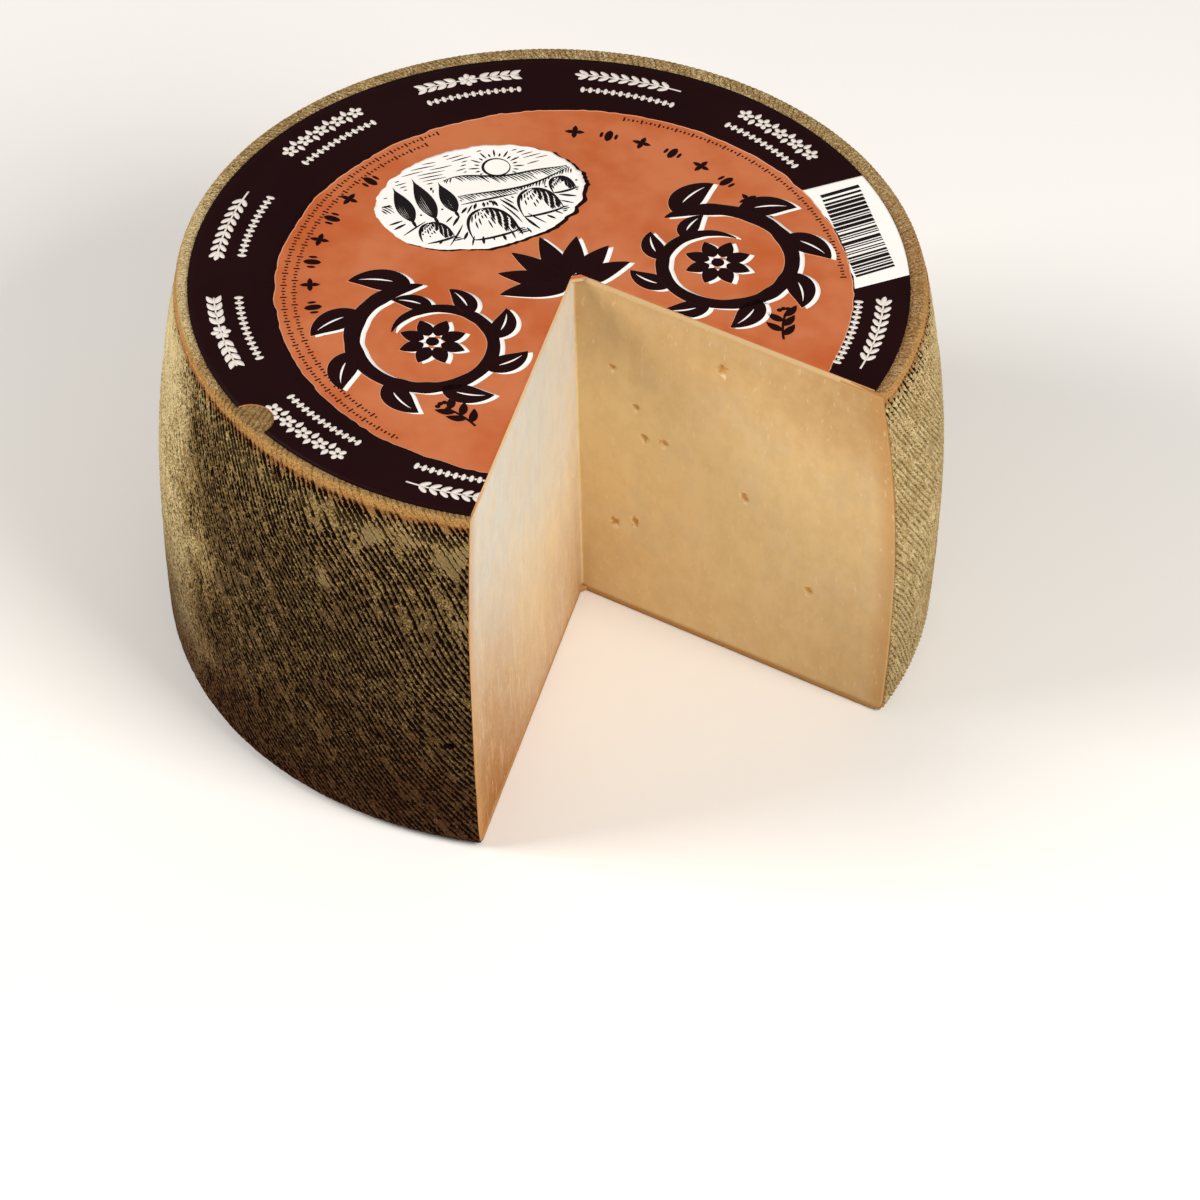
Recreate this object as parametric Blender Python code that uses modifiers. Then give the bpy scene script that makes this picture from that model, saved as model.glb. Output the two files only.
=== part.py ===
"""A cut cheese wheel with its round paper label.

The wheel is a drum of hard cheese with a bulging side and a wedge taken out of it.
It stands on its foot at z = 0. Its axis is the Z axis, and the missing wedge opens
towards -Y. The label is a thin disc of paper on the top, cut through with the cheese.
Units are metres, and +Z is up.
"""

import math
import random

import bmesh
import bpy
from mathutils import Matrix, Vector

# The drum
HEIGHT = 0.1033
BULGE_RADIUS = 0.0979
BULGE_HEIGHT = 0.0428
TOP_RADIUS = 0.0916
FOOT_RADIUS = 0.0964
TOP_ROUNDING = 0.0014
FOOT_ROUNDING = 0.0040
SIDE_STEP = 0.0047
SIDES = 136

# The hand-pressed side, which isn't quite round
WOBBLE_DEPTH = 0.00030
WOBBLE_WAVES = 7
DIMPLE_DEPTH = 0.00028
DIMPLE_COUNT = 90
DIMPLE_RADIUS = 0.0085
SEED = 41

# The missing wedge, whose edge leans a little
GAP_HALF_ANGLE = math.radians(36.84)
APEX_TOP = Vector((0.00534, -0.00130, HEIGHT))
APEX_FOOT = Vector((0.00746, -0.00385, 0.0))
GAP_REACH = 0.150
GAP_OVERRUN = 0.010

# The small eyes in the right cut face: distance from the apex, height, radius
EYES = (
    (0.0421, 0.0914, 0.0012),
    (0.0104, 0.0782, 0.0008),
    (0.0169, 0.0681, 0.0008),
    (0.0191, 0.0594, 0.0011),
    (0.0251, 0.0602, 0.0009),
    (0.0101, 0.0277, 0.0011),
    (0.0161, 0.0304, 0.0010),
    (0.0480, 0.0530, 0.0010),
    (0.0660, 0.0310, 0.0009),
)
EYE_DEPTH_SHARE = 0.45

# The paper label
LABEL_RADIUS = 0.0880
LABEL_CENTRE = Vector((-0.00115, -0.00165, 0.0))
LABEL_THICKNESS = 0.0003
LABEL_GAP = 0.0003
LABEL_SIDES = 160
NOTCH_ANGLE = math.radians(-165.0)
NOTCH_RADIUS = 0.0056

# Colours as linear red, green and blue
RIND_COLOUR = (0.235, 0.165, 0.085, 1.0)
LABEL_COLOUR = (0.520, 0.150, 0.055, 1.0)


def clear_scene():
    """Remove every object that the file opens with."""
    for item in list(bpy.data.objects):
        bpy.data.objects.remove(item, do_unlink=True)


def new_collection(name):
    """Return a new collection in the scene."""
    group = bpy.data.collections.new(name)
    bpy.context.scene.collection.children.link(group)
    return group


def new_material(name, colour, roughness):
    """Return a plain material with a Principled BSDF."""
    material = bpy.data.materials.new(name)
    material.use_nodes = True
    shader = material.node_tree.nodes["Principled BSDF"]
    shader.inputs["Base Color"].default_value = colour
    shader.inputs["Roughness"].default_value = roughness
    shader.inputs["Metallic"].default_value = 0.0
    material.diffuse_color = colour
    return material


def side_radius(z):
    """Return the drum's radius at a height: two half parabolas that meet at the bulge."""
    if z < BULGE_HEIGHT:
        share = (BULGE_HEIGHT - z) / BULGE_HEIGHT
        return BULGE_RADIUS - (BULGE_RADIUS - FOOT_RADIUS) * share * share
    share = (z - BULGE_HEIGHT) / (HEIGHT - BULGE_HEIGHT)
    return BULGE_RADIUS - (BULGE_RADIUS - TOP_RADIUS) * share * share


def corner_arc(centre_r, centre_z, radius, start, end, steps):
    """Return points of an arc in the profile's plane, from one angle to another."""
    points = []
    for step in range(steps + 1):
        angle = start + (end - start) * step / steps
        points.append((centre_r + radius * math.cos(angle), centre_z + radius * math.sin(angle)))
    return points


def drum_profile():
    """Return the half outline as (r, z), from the top's centre down to the foot's."""
    top_z = HEIGHT - TOP_ROUNDING
    top_r = side_radius(top_z) - TOP_ROUNDING
    foot_r = side_radius(FOOT_ROUNDING) - FOOT_ROUNDING
    points = [(0.0, HEIGHT)]
    points += corner_arc(top_r, top_z, TOP_ROUNDING, math.pi / 2.0, 0.0, 3)
    span = top_z - FOOT_ROUNDING
    rows = round(span / SIDE_STEP)
    for row in range(1, rows):
        z = top_z - span * row / rows
        points.append((side_radius(z), z))
    points += corner_arc(foot_r, FOOT_ROUNDING, FOOT_ROUNDING, 0.0, -math.pi / 2.0, 4)
    points.append((0.0, 0.0))
    return points


def evaluated_mesh(item):
    """Return a new mesh with the object's modifiers applied and its doubles merged."""
    bpy.context.view_layer.update()
    depsgraph = bpy.context.evaluated_depsgraph_get()
    mesh = bpy.data.meshes.new_from_object(item.evaluated_get(depsgraph))
    work = bmesh.new()
    work.from_mesh(mesh)
    bmesh.ops.remove_doubles(work, verts=work.verts, dist=0.00001)
    bmesh.ops.recalc_face_normals(work, faces=work.faces)
    work.to_mesh(mesh)
    work.free()
    return mesh


def replace_by_mesh(item, name, group):
    """Swap a curve or a modified object for a plain mesh object in the same place."""
    mesh = evaluated_mesh(item)
    solid = bpy.data.objects.new(name, mesh)
    group.objects.link(solid)
    solid.matrix_world = item.matrix_world.copy()
    bpy.data.objects.remove(item, do_unlink=True)
    mesh.name = name
    return solid


def turned_drum(group):
    """Turn the profile about the Z axis and return the closed drum."""
    mesh = bpy.data.meshes.new("drum_profile")
    outline = [Vector((r, 0.0, z)) for r, z in drum_profile()]
    edges = [(index, index + 1) for index in range(len(outline) - 1)]
    mesh.from_pydata(outline, edges, [])
    drum = bpy.data.objects.new("drum_profile", mesh)
    group.objects.link(drum)
    screw = drum.modifiers.new("Turn", "SCREW")
    screw.axis = "Z"
    screw.angle = math.tau
    screw.steps = SIDES
    screw.render_steps = SIDES
    screw.use_merge_vertices = True
    screw.merge_threshold = 0.00001
    return replace_by_mesh(drum, "cheese", group)


def hand_marks(rng):
    """Return the seeded waves and dimples that make the side uneven."""
    waves = []
    for order in range(2, 2 + WOBBLE_WAVES):
        waves.append((order, rng.uniform(0.0, math.tau), rng.uniform(-30.0, 30.0), 1.0 / order))
    dimples = []
    for _ in range(DIMPLE_COUNT):
        dimples.append((rng.uniform(0.0, math.tau), rng.uniform(0.0, HEIGHT)))
    return waves, dimples


def side_relief(angle, z, waves, dimples):
    """Return how far the side stands out at a place: long waves less soft dimples."""
    relief = 0.0
    for order, phase, lean, share in waves:
        relief += 2.0 * WOBBLE_DEPTH * share * math.sin(order * angle + phase + lean * z)
    for dimple_angle, dimple_z in dimples:
        turn = math.remainder(angle - dimple_angle, math.tau) * BULGE_RADIUS
        distance = math.hypot(turn, z - dimple_z) / DIMPLE_RADIUS
        if distance < 1.0:
            relief -= DIMPLE_DEPTH * (1.0 - distance * distance) ** 2
    return relief


def press_side(drum):
    """Move the side's points in and out, and leave the top and the foot flat."""
    waves, dimples = hand_marks(random.Random(SEED))
    for vertex in drum.data.vertices:
        place = vertex.co
        radius = math.hypot(place.x, place.y)
        if radius < TOP_RADIUS / 2.0:
            continue
        angle = math.atan2(place.y, place.x)
        edge_fade = min(1.0, place.z / FOOT_ROUNDING, (HEIGHT - place.z) / (3.0 * TOP_ROUNDING))
        scale = 1.0 + side_relief(angle, place.z, waves, dimples) * edge_fade / radius
        vertex.co = Vector((place.x * scale, place.y * scale, place.z))
    drum.data.update()


def flat_outline(name, corners, low, high, group):
    """Extrude a closed flat outline from one height to another and return its mesh object."""
    curve = bpy.data.curves.new(name + "_outline", "CURVE")
    curve.dimensions = "2D"
    curve.fill_mode = "BOTH"
    curve.extrude = (high - low) / 2.0
    spline = curve.splines.new("POLY")
    spline.points.add(len(corners) - 1)
    for point, corner in zip(spline.points, corners):
        point.co = (corner[0], corner[1], 0.0, 1.0)
    spline.use_cyclic_u = True
    item = bpy.data.objects.new(name + "_outline", curve)
    group.objects.link(item)
    item.location = (0.0, 0.0, (low + high) / 2.0)
    solid = replace_by_mesh(item, name, group)
    solid.data.transform(solid.matrix_world)
    solid.matrix_world = Matrix.Identity(4)
    return solid


def hide_cutter(cutter):
    """Mark an object as a cutter, which is no piece of the part."""
    cutter.hide_render = True
    cutter.display_type = "WIRE"


def gap_cutter(group):
    """Return the leaning three-sided prism that takes the wedge out."""
    reach = Vector((GAP_REACH * math.sin(GAP_HALF_ANGLE), -GAP_REACH * math.cos(GAP_HALF_ANGLE)))
    corners = [
        (APEX_FOOT.x, APEX_FOOT.y),
        (APEX_FOOT.x - reach.x, APEX_FOOT.y + reach.y),
        (APEX_FOOT.x + reach.x, APEX_FOOT.y + reach.y),
    ]
    prism = flat_outline("gap_cutter", corners, -GAP_OVERRUN, HEIGHT + GAP_OVERRUN, group)
    lean = (APEX_TOP - APEX_FOOT) / HEIGHT
    slant = Matrix.Identity(4)
    slant[0][2] = lean.x
    slant[1][2] = lean.y
    prism.data.transform(slant)
    hide_cutter(prism)
    return prism


def face_place(distance, z):
    """Return a point on the right cut face."""
    apex = APEX_FOOT.lerp(APEX_TOP, z / HEIGHT)
    along = Vector((math.sin(GAP_HALF_ANGLE), -math.cos(GAP_HALF_ANGLE), 0.0))
    return Vector((apex.x, apex.y, z)) + along * distance


def eye_cutters(group):
    """Return one ball for each small eye, sunk part of the way into the cut face."""
    balls = []
    inward = Vector((math.cos(GAP_HALF_ANGLE), math.sin(GAP_HALF_ANGLE), 0.0))
    for distance, z, radius in EYES:
        work = bmesh.new()
        bmesh.ops.create_uvsphere(work, u_segments=10, v_segments=6, radius=radius)
        mesh = bpy.data.meshes.new("eye_cutter")
        work.to_mesh(mesh)
        work.free()
        offset = inward * radius * (2.0 * EYE_DEPTH_SHARE - 1.0)
        mesh.transform(Matrix.Translation(face_place(distance, z) + offset))
        ball = bpy.data.objects.new("eye_cutter", mesh)
        group.objects.link(ball)
        hide_cutter(ball)
        balls.append(ball)
    return balls


def round_outline(centre, radius, sides):
    """Return the corners of a regular outline about a centre."""
    corners = []
    for index in range(sides):
        angle = math.tau * index / sides
        corners.append((centre.x + radius * math.cos(angle), centre.y + radius * math.sin(angle)))
    return corners


def subtract(solid, cutter):
    """Take a cutter out of a solid with a Boolean modifier."""
    cut = solid.modifiers.new(cutter.name, "BOOLEAN")
    cut.operation = "DIFFERENCE"
    cut.object = cutter


def make_cheese(group, cutters, gap):
    """Turn, press and cut the wheel of cheese."""
    cheese = turned_drum(group)
    press_side(cheese)
    subtract(cheese, gap)
    for ball in eye_cutters(cutters):
        subtract(cheese, ball)
    cheese.data.materials.append(new_material("cheese_rind", RIND_COLOUR, 0.7))
    return cheese


def make_label(group, cutters, gap):
    """Make the paper disc, with the bite in its rim and the same wedge taken out."""
    low = HEIGHT + LABEL_GAP
    high = low + LABEL_THICKNESS
    outline = round_outline(LABEL_CENTRE, LABEL_RADIUS, LABEL_SIDES)
    label = flat_outline("label", outline, low, high, group)
    rim = Vector((math.cos(NOTCH_ANGLE), math.sin(NOTCH_ANGLE), 0.0)) * LABEL_RADIUS
    bite = round_outline(LABEL_CENTRE + rim, NOTCH_RADIUS, 24)
    notch = flat_outline("notch_cutter", bite, HEIGHT, high + LABEL_THICKNESS, cutters)
    hide_cutter(notch)
    subtract(label, gap)
    subtract(label, notch)
    label.data.materials.append(new_material("label_paper", LABEL_COLOUR, 0.5))
    return label


def shade(solid):
    """Shade a round solid smooth, with its corners kept sharp."""
    solid.data.shade_smooth()
    solid.data.set_sharp_from_angle(angle=math.radians(35.0))


def main():
    """Build the cheese and its label."""
    clear_scene()
    parts = new_collection("cheese_wheel")
    cutters = new_collection("cutters")
    gap = gap_cutter(cutters)
    for solid in (make_cheese(parts, cutters, gap), make_label(parts, cutters, gap)):
        shade(solid)


main()
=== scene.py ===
"""Looks of a cut cheese wheel with its round paper label.

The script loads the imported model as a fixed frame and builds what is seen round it: the
pressed rind as swept shells, the paste with its two cut faces, a plate of rind under the label
and one at the foot, and the paper label, whose print is thin slabs of ink.

Sizes are in metres and angles in radians, in the frame's own axes: the wheel's axis is Z, it
stands on z = 0, and the missing wedge opens towards -Y.
"""

from __future__ import annotations

import functools
import logging
import math
import random
from dataclasses import dataclass, field
from enum import Enum
from typing import Callable, Iterable, Sequence

import bpy
import numpy as np
from mathutils import Matrix, Vector

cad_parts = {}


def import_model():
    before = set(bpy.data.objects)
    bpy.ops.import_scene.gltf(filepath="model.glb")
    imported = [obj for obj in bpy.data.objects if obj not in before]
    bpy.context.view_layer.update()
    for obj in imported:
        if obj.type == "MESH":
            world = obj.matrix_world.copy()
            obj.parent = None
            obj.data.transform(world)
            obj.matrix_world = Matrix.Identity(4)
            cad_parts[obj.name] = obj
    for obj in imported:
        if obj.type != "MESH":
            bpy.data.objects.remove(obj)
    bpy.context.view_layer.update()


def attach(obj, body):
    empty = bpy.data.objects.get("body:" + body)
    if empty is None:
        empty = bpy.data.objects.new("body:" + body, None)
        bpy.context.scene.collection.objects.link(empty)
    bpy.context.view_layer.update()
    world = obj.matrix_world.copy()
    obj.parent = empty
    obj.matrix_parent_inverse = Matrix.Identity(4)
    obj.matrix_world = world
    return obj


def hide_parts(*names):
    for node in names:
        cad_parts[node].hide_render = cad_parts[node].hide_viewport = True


MM = 0.001
DEGREE = math.pi / 180.0
BODY = "root"
BAKE_MAP = "OFBake"
MAP_SHARE = 0.95
NOISE_CORE = (0.3, 0.7)
QUARTER = math.pi / 2.0
Colour = tuple[int, int, int]
Place = tuple[float, float]
Four = tuple[float, float, float, float]
Socket = bpy.types.NodeSocket
Array = np.ndarray
Fields = dict[str, np.ndarray]
# A line's points, the mask of those to keep, and its stroke's thickness
Line = tuple[np.ndarray, np.ndarray, float]

log = logging.getLogger("cheese_wheel")


class Slot(Enum):
    """The material slots."""

    RIND = "rind"
    PASTE = "paste"
    LABEL = "label"


class Side(Enum):
    """The two cut faces, as seen by someone who looks into the gap."""

    LEFT = -1.0
    RIGHT = 1.0


def smooth_step(value: Array, low: float, high: float) -> Array:
    """Return 0 below low, 1 above high and the cubic 3t^2 - 2t^3 between them.

    Args:
        value: The numbers to place between the two ends.
        low: The end that gives 0.
        high: The end that gives 1.

    Returns:
        An array like value.
    """
    share = np.clip((value - low) / (high - low), 0.0, 1.0)
    return share * share * (3.0 - 2.0 * share)


class SmoothNoise:
    """Seeded noise on a plane, from -1 to 1.

    Each corner of a grid of unit cells holds a random number. A place in a cell takes the four
    corners' numbers, blended along both sides of the cell by the cubic smooth step.
    """

    CELLS = 256

    def __init__(self, seed: int) -> None:
        """Draw the grid's numbers.

        Args:
            seed: The seed of the draw.
        """
        self.table = np.random.default_rng(seed).uniform(-1.0, 1.0, (self.CELLS, self.CELLS))

    def at(self, across: Array, along: Array | float) -> Array:
        """Return the noise at places of the plane.

        Args:
            across: First coordinate, in cells.
            along: Second coordinate, in cells.

        Returns:
            An array of their common shape.
        """
        across, along = np.broadcast_arrays(across, along)
        column = np.floor(across).astype(np.int64)
        row = np.floor(along).astype(np.int64)
        x = smooth_step(across - column, 0.0, 1.0)
        y = smooth_step(along - row, 0.0, 1.0)
        left, right = column % self.CELLS, (column + 1) % self.CELLS
        low, high = row % self.CELLS, (row + 1) % self.CELLS
        near = self.table[left, low] * (1.0 - x) + self.table[right, low] * x
        far = self.table[left, high] * (1.0 - x) + self.table[right, high] * x
        return near * (1.0 - y) + far * y

    def over(self, across: Array, along: Array, wide: float, high: float, start: float = 0.0) -> Array:
        """Return the noise at places in metres, with cells of wide by high millimetres.

        Args:
            across: First coordinate.
            along: Second coordinate.
            wide: A cell's size along the first coordinate.
            high: A cell's size along the second one.
            start: How many cells further on the second coordinate starts.

        Returns:
            An array of the two arrays' common shape.
        """
        return self.at(across / (wide * MM), along / (high * MM) + start)


@dataclass(frozen=True)
class WheelForm:
    """The wheel's main form, in the sizes that the solids have."""

    height: float = 103.3 * MM
    bulge_radius: float = 97.9 * MM
    bulge_height: float = 42.8 * MM
    top_radius: float = 91.6 * MM
    foot_radius: float = 96.4 * MM
    top_rounding: float = 1.4 * MM
    foot_rounding: float = 4.0 * MM
    gap_half_angle: float = 36.84 * DEGREE
    apex_top: Place = (5.34 * MM, -1.30 * MM)
    apex_foot: Place = (7.46 * MM, -3.85 * MM)
    rind_thickness: float = 1.3 * MM
    wobble_depth: float = 0.30 * MM
    wobble_waves: int = 7
    dimple_depth: float = 0.28 * MM
    dimple_count: int = 90
    dimple_radius: float = 8.5 * MM
    seed: int = 41

    def bulge(self, z: Array) -> Array:
        """Return the side's radius: two half parabolas that meet at the bulge."""
        below = (self.bulge_height - z) / self.bulge_height
        above = (z - self.bulge_height) / (self.height - self.bulge_height)
        low = self.bulge_radius - (self.bulge_radius - self.foot_radius) * below**2
        high = self.bulge_radius - (self.bulge_radius - self.top_radius) * above**2
        return np.where(z < self.bulge_height, low, high)

    @property
    def top_flat(self) -> float:
        """Radius of the flat part of the top."""
        return float(self.bulge(np.array(self.height - self.top_rounding))) - self.top_rounding

    @property
    def foot_flat(self) -> float:
        """Radius of the flat part of the foot."""
        return float(self.bulge(np.array(self.foot_rounding))) - self.foot_rounding

    def outline(self, z: Array) -> Array:
        """Return the outer radius at a height, with both corners rounded by quarter circles."""
        foot = np.clip(self.foot_rounding - z, 0.0, self.foot_rounding)
        foot_arc = self.foot_flat + np.sqrt(self.foot_rounding**2 - foot**2)
        top = np.clip(z - self.height + self.top_rounding, 0.0, self.top_rounding)
        top_arc = self.top_flat + np.sqrt(self.top_rounding**2 - top**2)
        return np.where(foot > 0.0, foot_arc, np.where(top > 0.0, top_arc, self.bulge(z)))

    def apex(self, z: Array) -> Array:
        """Return the place of the cut's inner edge at a height, as an array with a last axis of 2."""
        share = (np.asarray(z) / self.height)[..., None]
        return np.array(self.apex_foot) * (1.0 - share) + np.array(self.apex_top) * share

    def along_cut(self, side: Side) -> Array:
        """Return the level direction that runs out along a cut face."""
        return np.array([side.value * math.sin(self.gap_half_angle), -math.cos(self.gap_half_angle)])

    def into_gap(self, side: Side) -> Array:
        """Return a cut face's outward normal, which points into the gap."""
        return np.array([-side.value * math.cos(self.gap_half_angle), -math.sin(self.gap_half_angle)])

    def reach(self, side: Side, radius: Array, z: Array) -> Array:
        """Return how far along a cut face a circle of the given radius is met.

        The face's line is apex + t * direction. Its distance from the axis equals the radius
        where t = -b + sqrt(b^2 - |apex|^2 + radius^2), with b the product of apex and direction.
        """
        apex = self.apex(z)
        lean = apex @ self.along_cut(side)
        return -lean + np.sqrt(lean**2 - (apex**2).sum(-1) + radius**2)

    def cut_angle(self, side: Side, radius: Array, z: Array) -> Array:
        """Return the angle about the axis at which a cut face is met.

        Args:
            side: Which cut face.
            radius: Distance from the axis.
            z: Height.

        Returns:
            The angle: about -53 degrees on the right, and about 233 degrees on the left.
        """
        apex = self.apex(z)
        reach = self.reach(side, radius, z)[..., None]
        place = apex + reach * self.along_cut(side)
        angle = np.arctan2(place[..., 1], place[..., 0])
        return angle + (2.0 * math.pi if side is Side.LEFT else 0.0)

    def hand_marks(self, angle: Array, z: Array) -> Array:
        """Return how far the side stands out at a place: long waves less soft dimples.

        Wave number n adds 2 * depth / n * sin(n * angle + phase + lean * z). A dimple takes away
        depth * (1 - d^2)^2, where d is the distance to its middle as a share of its radius.
        """
        draw = random.Random(self.seed)
        relief = np.zeros(np.broadcast(angle, z).shape)
        for order in range(2, 2 + self.wobble_waves):
            phase = draw.uniform(0.0, math.tau)
            lean = draw.uniform(-30.0, 30.0)
            relief += 2.0 * self.wobble_depth / order * np.sin(order * angle + phase + lean * z)
        for _ in range(self.dimple_count):
            middle = draw.uniform(0.0, math.tau)
            level = draw.uniform(0.0, self.height)
            turn = np.remainder(angle - middle + math.pi, math.tau) - math.pi
            distance = np.hypot(turn * self.bulge_radius, z - level) / self.dimple_radius
            relief -= self.dimple_depth * np.clip(1.0 - distance**2, 0.0, 1.0) ** 2
        return relief


@dataclass
class MeshData:
    """The arrays of a mesh before it becomes an object.

    Attributes:
        points: Vertices, one row of three for each.
        faces: Arrays of faces, one array for each number of corners.
        maps: A bake map place for each corner of each face, in the faces' order.
        fields: Named values for each vertex, which the materials read.
        flat_from: Number of the first face that is shaded flat, or None.
    """

    points: Array
    faces: list[Array]
    maps: Array
    fields: Fields = field(default_factory=dict)
    flat_from: int | None = None

    def to_object(self, name: str, material: bpy.types.Material) -> bpy.types.Object:
        """Make the mesh object, link it to the scene and give it its material.

        Args:
            name: The object's name.
            material: The finish that it wears.

        Returns:
            The new object, at the origin.
        """
        corners = np.concatenate([part.ravel() for part in self.faces]).astype(np.int32)
        counts = np.concatenate([np.full(len(part), part.shape[1]) for part in self.faces])
        starts = np.concatenate(([0], np.cumsum(counts)[:-1])).astype(np.int32)
        mesh = bpy.data.meshes.new(name)
        mesh.vertices.add(len(self.points))
        mesh.vertices.foreach_set("co", self.points.astype(np.float32).ravel())
        mesh.loops.add(len(corners))
        mesh.loops.foreach_set("vertex_index", corners)
        mesh.polygons.add(len(counts))
        mesh.polygons.foreach_set("loop_start", starts)
        mesh.update(calc_edges=True)
        smooth = np.ones(len(counts), dtype=bool)
        if self.flat_from is not None:
            smooth[self.flat_from :] = False
        mesh.polygons.foreach_set("use_smooth", smooth)
        layer = mesh.uv_layers.new(name=BAKE_MAP)
        layer.data.foreach_set("uv", self.maps.astype(np.float32).ravel())
        for label, values in self.fields.items():
            attribute = mesh.attributes.new(label, "FLOAT", "POINT")
            attribute.data.foreach_set("value", np.ascontiguousarray(values, np.float32).ravel())
        mesh.materials.append(material)
        item = bpy.data.objects.new(name, mesh)
        bpy.context.scene.collection.objects.link(item)
        return item


def tube(count: int, width: int) -> tuple[list[Array], Array, Array]:
    """Return the faces of a closed loop of points swept along, with a flat face at each end.

    Args:
        count: How many loops there are, one after another.
        width: How many points a loop has.

    Returns:
        The side faces and the two ends. Then, for each corner of the side faces, the number of
        its loop and its number in the loop, which counts on past the last point.
    """
    step, place = np.meshgrid(np.arange(count - 1), np.arange(width), indexing="ij")
    along = np.stack([(step + move).ravel() for move in (0, 0, 1, 1)], axis=-1)
    across = np.stack([(place + move).ravel() for move in (0, 1, 1, 0)], axis=-1)
    loop = np.arange(width)
    ends = np.stack((loop[::-1], loop + (count - 1) * width))
    return [along * width + across % width, ends], along, across


def map_places(*parts: tuple[Array, Array]) -> Array:
    """Return one list of bake map places from pairs of ways across and up."""
    return np.concatenate([np.column_stack((across.ravel(), up.ravel())) for across, up in parts])


def arc(middle: Sequence[float], radius: float, turn: Array) -> Array:
    """Return places on a circle, at middle + radius * (cos turn, sin turn)."""
    return np.column_stack((middle[0] + radius * np.cos(turn), middle[1] + radius * np.sin(turn)))


def settle(piece: bpy.types.Object, node: str, slot: Slot) -> None:
    """Ride a piece on the wheel, let it stand for a solid and report it.

    Args:
        piece: The finished piece.
        node: The solid that it stands for.
        slot: The slot that its finish belongs to. Not used.
    """
    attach(piece, BODY)
    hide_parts(node)
    log.info("%s: %d faces", piece.name, len(piece.data.polygons))


class Shader:
    """A node tree under construction, with short ways to add and join nodes."""

    def __init__(self, tree: bpy.types.NodeTree) -> None:
        """Keep the tree that the nodes go in, and a material's Principled BSDF."""
        self.tree = tree
        self.surface = tree.nodes.get("Principled BSDF")

    def add(self, kind: str, **settings: object) -> bpy.types.Node:
        """Add a node of a kind and set its properties."""
        node = self.tree.nodes.new(kind)
        for name, value in settings.items():
            setattr(node, name, value)
        return node

    def feed(self, socket: Socket, value: object) -> None:
        """Join a socket to another one, or set its own value."""
        if isinstance(value, bpy.types.NodeSocket):
            self.tree.links.new(value, socket)
        else:
            socket.default_value = value

    def set(self, name: str, value: object) -> None:
        """Join a socket of the material's surface to another one, or set its own value."""
        self.feed(self.surface.inputs[name], value)

    def math(self, operation: str, first: object, second: object = 0.0) -> Socket:
        """Return the result of a sum on two values."""
        node = self.add("ShaderNodeMath", operation=operation)
        self.feed(node.inputs[0], first)
        self.feed(node.inputs[1], second)
        return node.outputs[0]

    def total(self, *values: object) -> Socket:
        """Return the sum of values, added up from the left."""
        return functools.reduce(lambda first, second: self.math("ADD", first, second), values)

    def product(self, *values: object) -> Socket:
        """Return the product of values, multiplied from the left."""
        return functools.reduce(lambda first, second: self.math("MULTIPLY", first, second), values)

    def sway(self, value: object, reach: float) -> Socket:
        """Return a value of 0 to 1 stretched to the range from -reach to reach."""
        return self.spread(value, 0.0, 1.0, -reach, reach)

    def spread(
        self, value: object, low: float, high: float, to_low: float = 0.0, to_high: float = 1.0
    ) -> Socket:
        """Return a value stretched from one range to another and held at its ends."""
        node = self.add("ShaderNodeMapRange", interpolation_type="SMOOTHSTEP", clamp=True)
        self.feed(node.inputs["Value"], value)
        ends = {"From Min": low, "From Max": high, "To Min": to_low, "To Max": to_high}
        for name, number in ends.items():
            node.inputs[name].default_value = number
        return node.outputs["Result"]

    def mix(self, share: object, first: Socket | Colour, second: Socket | Colour) -> Socket:
        """Return a blend of two colours, from sockets or in screen values."""
        node = self.add("ShaderNodeMix", data_type="RGBA")
        self.feed(node.inputs[0], share)
        for number, value in ((6, first), (7, second)):
            self.feed(node.inputs[number], colour(*value) if isinstance(value, tuple) else value)
        return node.outputs[2]

    def noise(
        self, place: Socket, size: float, detail: float = 2.0, roughness: float = 0.5
    ) -> Socket:
        """Return noise whose features are about as wide as the given size in metres."""
        node = self.add("ShaderNodeTexNoise")
        self.feed(node.inputs["Vector"], place)
        node.inputs["Scale"].default_value = 1.0 / size
        node.inputs["Detail"].default_value = detail
        node.inputs["Roughness"].default_value = roughness
        return node.outputs["Fac"]

    def place(self, stretch: tuple[float, float, float] = (1.0, 1.0, 1.0)) -> Socket:
        """Return the object's own coordinates, stretched along its axes."""
        coordinates = self.add("ShaderNodeTexCoord")
        mapping = self.add("ShaderNodeMapping")
        self.feed(mapping.inputs["Vector"], coordinates.outputs["Object"])
        mapping.inputs["Scale"].default_value = stretch
        return mapping.outputs["Vector"]

    def field(self, name: str) -> Socket:
        """Return a named value of the mesh's vertices."""
        return self.add("ShaderNodeAttribute", attribute_name=name).outputs["Fac"]

    def bump(self, height: object, strength: float, distance: float) -> Socket:
        """Return a normal that leans by a height of 0 to 1 over a distance in metres."""
        node = self.add("ShaderNodeBump")
        node.inputs["Strength"].default_value = strength
        node.inputs["Distance"].default_value = distance
        self.feed(node.inputs["Height"], height)
        return node.outputs["Normal"]

    def grain(self, place: Socket, coarse: float, fine: float) -> list[Socket]:
        """Return soft mottling of a coarse size and grain of a fine size, both from 0 to 1."""
        sizes = {"Place": place, "Coarse Scale": 1.0 / coarse, "Fine Scale": 1.0 / fine}
        node = self.use(grain_group(), sizes)
        return [node.outputs["Mottle"], node.outputs["Grain"]]

    def use(self, group: bpy.types.NodeTree, values: dict[str, object]) -> bpy.types.Node:
        """Place a node group and feed its inputs by name."""
        node = self.add("ShaderNodeGroup", node_tree=group)
        for name, value in values.items():
            self.feed(node.inputs[name], value)
        return node


def new_material(name: str) -> tuple[bpy.types.Material, Shader]:
    """Return a new material and the builder of its nodes."""
    material = bpy.data.materials.new(name)
    material.use_nodes = True
    return material, Shader(material.node_tree)


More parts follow.
